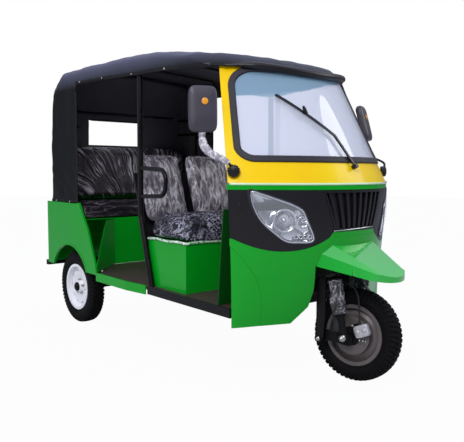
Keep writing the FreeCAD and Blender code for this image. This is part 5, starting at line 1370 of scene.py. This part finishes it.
def makeScreen():
    # everything grows from the opening's rounded loop: the glass inwards, the gasket along it, the
    # sheet outwards
    loop = roundedLoop(screen["opening"], 0.0)
    # the glass: rings of the opening shrunk to its middle
    s = np.linspace(1, 0, 26)[:, None]
    y, z = s * loop[:, 0], screen["middle"] + s * (loop[:, 1] - screen["middle"])
    glass = weld(gridMesh("glass", toRow(onScreen(y, z, -3.0)), closed=(False, True)), 1e-5)
    piece = addPiece("windscreenPane", glass, "chassis", "laminatedGlass", ["windscreen_glass"])
    thicken(piece, screen["pane"])
    # the gasket: a flattened tube round the opening with a lip groove
    path = onScreen(loop[:, 0], loop[:, 1], 2.0)
    along = np.roll(path, -1, 0) - np.roll(path, 1, 0)
    along /= np.linalg.norm(along, axis=1, keepdims=True)
    up = onScreen(loop[:, 0], loop[:, 1], 1.0) - onScreen(loop[:, 0], loop[:, 1], 0.0)
    across = np.cross(along, up)
    angle = np.linspace(0, 2 * np.pi, 20, endpoint=False)
    wide = np.sign(np.cos(angle)) * np.abs(np.cos(angle)) ** 0.6 * screen["gasket"]
    tall = np.sign(np.sin(angle)) * np.abs(np.sin(angle)) ** 0.6 * screen["proud"]
    tall = tall - 2.2 * np.exp(-(wide / 2.0) ** 2) * (tall > 0)
    ring = across[:, None] * wide[None, :, None] + up[:, None] * tall[None, :, None]
    gasket = weld(gridMesh("gasket", toRow(path[:, None] + ring), closed=(True, True)), 1e-6)
    addPiece("windscreenGasket", gasket, "chassis", "gasketRubber", ["windscreen_seal"])
    # the surround: from the opening out to the sides, the ledge below and the edge under the canvas
    turn = np.arctan2(loop[:, 1] - screen["middle"], loop[:, 0])
    reach = np.linspace(0, 900, 1801)
    rayY, rayZ = np.cos(turn)[:, None] * reach, screen["middle"] + np.sin(turn)[:, None] * reach
    base, lift, width = screen["top"]
    half = screenX(rayY, np.clip(rayZ, screen["low"][0], screen["high"][0]))[1]
    topZ = base + lift * np.minimum(np.abs(rayY) / width, 1.1) ** 1.6
    inside = (np.abs(rayY) < half - 0.5) & (rayZ > screen["low"][0] + 0.6) & (rayZ < topZ)
    last = inside.cumprod(axis=1).sum(axis=1) - 1
    far = reach[np.maximum(last, 0)]
    outerLoop = np.stack([np.cos(turn) * far, screen["middle"] + np.sin(turn) * far], -1)
    s = np.linspace(0, 1, 14)[:, None]
    y = loop[:, 0] * (1 - s) + outerLoop[:, 0] * s
    z = loop[:, 1] * (1 - s) + outerLoop[:, 1] * s
    surround = weld(gridMesh("surround", toRow(onScreen(y, z, 0.0)), closed=(False, True)), 1e-6)
    piece = addPiece("windscreenSurround", surround, "chassis", "yellowEnamel",
                     ["windscreen_frame"])
    thicken(piece, screen["sheet"])
    bevel = piece.modifiers.new("edge", "BEVEL")
    bevel.width, bevel.segments, bevel.limit_method = 0.0012, 2, "ANGLE"


makeScreen()
print("the windscreen is made")


# mirrors: reflector, glass, fluted base and the film left on the arm

# both arms follow one route, its y taken to either side; film gives the steps of it that the film covers
mirror = {"head": {-1: (1590.0, -671.0, 1405.0), 1: (1548.0, 676.0, 1406.0)}, "half": (22.0, 73.0, 115.0),
          "toe": 25.0, "tilt": {-1: -3.0, 1: -15.0}, "foot": (1744.0, 597.0, 1099.0), "arm": 7.0,
          "route": ((1589, 670, 1312), (1580, 668, 1266), (1599, 668, 1222), (1645, 666, 1188),
                    (1700, 662, 1167), (1738, 648, 1150), (1752, 626, 1128), (1747, 606, 1106)),
          "reflector": ((0.01, 0), (17, 0), (17, 2.5), (14, 3.6), (0.01, 4.2)), "film": (2, 72),
          "filmRadius": 20.0, "filmCut": (0.27, 0.14), "filmThickness": 0.8}


def makeMirror(side, word):
    # a domed head turned to face the driver, its pane and reflector, and a bent arm on a fluted knob
    head = np.array(mirror["head"][side])
    turn = (0, mirror["tilt"][side], side * mirror["toe"])
    spin = np.array(Matrix.Rotation(math.radians(turn[2]), 3, "Z")
                    @ Matrix.Rotation(math.radians(turn[1]), 3, "Y"))
    deep, wide, high = mirror["half"]

    def onHead(p):
        return head + np.asarray(p, float) @ spin.T

    # the head: a rounded box whose back is domed, its depth falling to three quarters at the rim
    shell = softBlock("shell", (0, 0, 0), (1, 1, 1), (0, 0, 0), 0.36, (40, 56))
    count = len(shell.vertices)
    unit = np.empty(count * 3, np.float32)
    shell.vertices.foreach_get("co", unit)
    unit = (unit.reshape(-1, 3).astype(float) * 1000 + (rearShift, 0, 0))
    rim = np.maximum(np.abs(unit[:, 1]), np.abs(unit[:, 2]))
    depth = unit[:, 0] * deep * np.where(unit[:, 0] > 0, 1.12 - 0.35 * rim ** 3, 1.0)
    points = toRow(onHead(np.stack([depth, unit[:, 1] * wide, unit[:, 2] * high], -1)))
    shell.vertices.foreach_set("co", points.astype(np.float32).ravel())
    pane = softBlock("pane", onHead((-deep - 0.4, 0, 0)), (1.6, wide - 9, high - 9), turn, 0.36, (20, 40))
    disc = turned("disc", mirror["reflector"], onHead((deep * 1.08, -side * 6, 36)), spin[:, 0], 32)
    away = np.array((head[0] - mirror["head"][-1][0], 0, 0))
    route = np.array(mirror["route"]) * (1, side, 1)
    route = route + away * np.clip((route[:, 2:] - 1100) / 200, 0, 1)
    path = smoothPath(route, 90)
    arm = sweep("arm", path, mirror["arm"], 14, (0, 1, 0))
    # the foot: a knob with fourteen flutes
    angle = np.linspace(0, 2 * np.pi, 112, endpoint=False)
    axis = np.array((0.73, side * 0.68, 0.0)) / math.hypot(0.73, 0.68)
    across = np.cross(axis, (0, 0, 1.0))
    foot = np.array(mirror["foot"]) * (1, side, 1)
    rings = []
    for radius, along in ((0.01, -4), (30, -4), (31, 6), (30, 22), (27, 27), (18, 31), (0.01, 32)):
        flute = radius * (1 + (0.06 * np.cos(14 * angle) if 25 < radius else 0 * angle))
        rings.append(foot + axis * along + across * (np.cos(angle) * flute)[:, None]
                     + np.array((0, 0, 1.0)) * (np.sin(angle) * flute)[:, None])
    knob = weld(gridMesh("knob", toRow(np.stack(rings)), closed=(False, True)), 1e-6)
    addJoined("mirrorHead" + word, [shell], "chassis", "slateMoulding",
              ["mirror_" + word.lower()])
    addJoined("mirrorArm" + word, [arm, knob], "chassis", "satinMoulding")
    addJoined("mirrorPane" + word, [pane], "chassis", "chromedPlastic")
    addJoined("mirrorReflector" + word, [disc], "chassis", "amberReflector")
    return path


def makeArmFilm(path):
    # a tube of film round the arm, its radius pinched by folded waves
    path = path[mirror["film"][0]:mirror["film"][1]]
    u = np.linspace(0, 2 * np.pi, 40, endpoint=False)[None, :]
    v = np.linspace(0, 1, len(path))[:, None]
    wall = np.stack([np.cos(u) * 20 + 0 * v, np.sin(u) * 20 + 0 * v, v * 260 + 0 * u], -1)
    crease = np.abs(ripples(wall, 34, 77))
    radius = mirror["filmRadius"] + 3.5 * np.sin(v * 5.0) - 5.0 * crease
    along = np.gradient(path, axis=0)
    along /= np.linalg.norm(along, axis=1, keepdims=True)
    side = np.cross(along, (0, 1.0, 0))
    side /= np.linalg.norm(side, axis=1, keepdims=True)
    other = np.cross(along, side)
    ring = side[:, None] * np.cos(u)[..., None] + other[:, None] * np.sin(u)[..., None] * 0.8
    mesh = gridMesh("film", toRow(path[:, None] + ring * radius[..., None]), closed=(False, True))
    film = addPiece("mirrorArmFilm", mesh, "chassis", "hazyFilm")
    thicken(film, mirror["filmThickness"])


makeArmFilm(makeMirror(-1, "Right"))
makeMirror(1, "Left")
print("the mirrors are made")


# small things: studs on the canvas, the seat box's rolled lip, rails, grips and the gauge pod

# each stud's x and z, and its outline as (radius, distance out)
studs = {"places": ((123, 1696), (439, 1689), (805, 1672), (1137, 1665), (-283, 868), (-60, 868)),
         "proud": 5.0, "shape": ((0.01, -6), (6, -6), (6, 2), (4, 4), (0.01, 4.6))}


def makeStuds():
    # studs along each hem and curtain foot, a little proud of the canvas
    made = []
    for side in (-1, 1):
        for x, z in studs["places"]:
            y = side * (float(roofValue(x, roof["half"], roof["halfDrop"])) + studs["proud"])
            made.append(turned("stud", studs["shape"], (x, y, z), (0, side, 0), 20))
    addJoined("canvasStuds", made, "chassis", "zincPlate")


seatLip = {"front": 1290.0, "rear": 905.0, "half": 557.0, "height": 691.0, "radius": 8.0, "wave": 2.5}


def makeSeatLip():
    # film rolled along three edges of the seat box, rising and falling in a slow sine
    t = np.linspace(0, 1, 60)[:, None]
    parts = []
    for side in (-1, 1):
        x = seatLip["rear"] + (seatLip["front"] - seatLip["rear"]) * t
        z = seatLip["height"] + seatLip["wave"] * np.sin(t * 11 + side)
        path = np.hstack([x, side * (seatLip["half"] + 0 * t), z])
        parts.append(sweep("lip", path, seatLip["radius"], 12, (0, 1, 0)))
    z = seatLip["height"] + seatLip["wave"] * np.sin(t * 17)
    path = np.hstack([seatLip["front"] + 0 * t, seatLip["half"] * (2 * t - 1), z])
    parts.append(sweep("lip", path, seatLip["radius"], 12, (1, 0, 0)))
    addJoined("seatBoxLip", parts, "chassis", "edgeFilm")


# a side rail's route in x and y, a back rail's, the heights of each, and their radius
cabinRails = {"side": ((-372, 560), (-300, 583), (60, 583)), "back": ((-366, -500), (-366, 0), (-366, 500)),
              "sideUp": (1400.0, 1520.0), "backUp": (1540.0, 1245.0), "radius": 10}


def makeCabinRails():
    # level tubes along the curtain's sides and across its back
    rails = []
    for side in (-1, 1):
        for z in cabinRails["sideUp"]:
            route = [(x, side * y, z) for x, y in cabinRails["side"]]
            rails.append(sweep("rail", smoothPath(route, 30), cabinRails["radius"], 12))
    for z in cabinRails["backUp"]:
        route = [(x, y, z) for x, y in cabinRails["back"]]
        rails.append(sweep("rail", smoothPath(route, 20), cabinRails["radius"], 12))
    addJoined("cabinRails", rails, "chassis", "blackTube")


# the bar's height on the steering axis, and outlines as (radius, distance); the lever is measured from there
controls = {"height": 1020, "grip": ((0.01, 276), (15, 276), (18, 272), (17, 262), (17.5, 160), (20, 156),
                                     (20, 150), (12, 149), (0.01, 149)),
            "switch": (6, 128, 4), "switchHalf": (20, 18, 18),
            "lever": ((40, 120, 6), (62, 160, 0), (58, 262, -8)),
            "pod": (1848, 0, 962), "podHalf": (46, 104, 40), "podTurn": (0, -24, 0),
            "dial": ((0.01, 0), (34, 0), (34, 3), (31, 4), (0.01, 4)), "dialAxis": (-0.9, 0, 0.42)}


def makeControls():
    # grips, switches and levers on the bar, turned with it; a pod with two dials on the shelf
    grips = []
    up = steering["axis"] / steering["axis"][2]
    centre = steering["point"] + up * (controls["height"] - steering["point"][2])
    for side in (-1, 1):
        flip = (1, side, 1)
        grips.append(turned("grip", controls["grip"], centre, (0, side, 0), 28, steered))
        grips.append(softBlock("switch", centre + np.array(controls["switch"]) * flip, controls["switchHalf"],
                               power=0.4, place=steered))
        lever = centre + np.array(controls["lever"]) * flip
        grips.append(sweep("lever", steered(smoothPath(lever, 24)), np.linspace(7, 5, 24), 10, (0, 0, 1)))
    addJoined("gripsAndLevers", grips, "steering", "satinMoulding")
    pod = softBlock("pod", controls["pod"], controls["podHalf"], controls["podTurn"], 0.32, (20, 32))
    addJoined("gaugePod", [pod], "chassis", "satinMoulding")
    dials = [turned("dial", controls["dial"], (1812, y, 980), controls["dialAxis"], 32) for y in (-46, 46)]
    addJoined("gaugeDials", dials, "chassis", "chromedPlastic")


# rear gives the shelf's rear edge at the middle and how far it draws back at the sides
dash = {"rear": (1640.0, 118.0), "half": 588.0, "low": 903.0, "high": 946.0, "gap": 16.0, "frontLimit": 2008,
        "leastDepth": 24, "roundness": 0.35}


def makeDash():
    # a shelf whose rear edge draws back towards the sides, its front edge just inside the nose
    y = np.linspace(-dash["half"], dash["half"], 90)
    back = dash["rear"][0] + dash["rear"][1] * np.abs(y / dash["half"]) ** 3
    front = np.minimum(skinX(y, np.full_like(y, dash["high"])) - dash["gap"], dash["frontLimit"])
    front = np.maximum(front, back + dash["leastDepth"])
    deep, tall = front - back, dash["high"] - dash["low"]
    turn = np.linspace(0, 2 * np.pi, 44, endpoint=False)[:, None]
    wide, high = (np.sign(v) * np.abs(v) ** dash["roundness"] for v in (np.cos(turn), np.sin(turn)))
    x = (back + front) / 2 + deep / 2 * wide
    z = (dash["low"] + dash["high"]) / 2 + tall / 2 * high + 0 * y
    grid = np.stack([x, y + 0 * x, z], -1)
    middle = grid.mean(0, keepdims=True)
    grid = np.concatenate([middle[:, :1] + 0 * grid[:, :1], grid, middle[:, -1:] + 0 * grid[:, -1:]], axis=1)
    mesh = weld(gridMesh("dash", toRow(grid), closed=(True, False)), 1e-6)
    addPiece("dashMoulding", mesh, "chassis", "satinMoulding", ["dashboard"])


# the pale bead is the ledge's painted highlight: its height, half length and radius; then the grille strip's
trims = {"highlightHeight": 1036.0, "highlightHalf": 625.0, "highlightRadius": 6.0, "trimRadius": 2.4,
         "grille": ((-160, 799), (-90, 801), (0, 804), (90, 806), (146, 807))}
wiperClip = {"spot": (-178.0, 1400.0), "out": 30.0, "half": (7.0, 34.0, 9.0), "turn": (-36.0, 0.0, 20.0)}


def makeTrims():
    # a clip on the wiper's blade, a pale bead along the ledge as its painted highlight, and a bright strip
    # over the grille
    spot = onScreen(*wiperClip["spot"], wiperClip["out"])
    clip = softBlock("clip", spot, wiperClip["half"], wiperClip["turn"], 0.5)
    addJoined("wiperBladeClip", [clip], "chassis", "satinMoulding")
    y = np.linspace(-trims["highlightHalf"], trims["highlightHalf"], 120)
    z = np.full_like(y, trims["highlightHeight"])
    bead = sweep("bead", np.stack([skinX(y, z) + 2, y, z], -1), trims["highlightRadius"], 12)
    addJoined("ledgePaintedHighlight", [bead], "chassis", "paintedHighlightEnamel")
    spots = np.array(trims["grille"], float)
    y = np.linspace(spots[0, 0], spots[-1, 0], 40)
    strip = sweep("strip", onNose(y, np.interp(y, spots[:, 0], spots[:, 1]), 3.0), trims["trimRadius"])
    addJoined("grilleTrim", [strip], "chassis", "chromedPlastic")


makeDash()
makeTrims()
makeStuds()
makeSeatLip()
makeCabinRails()
makeControls()
print("the small parts are made")
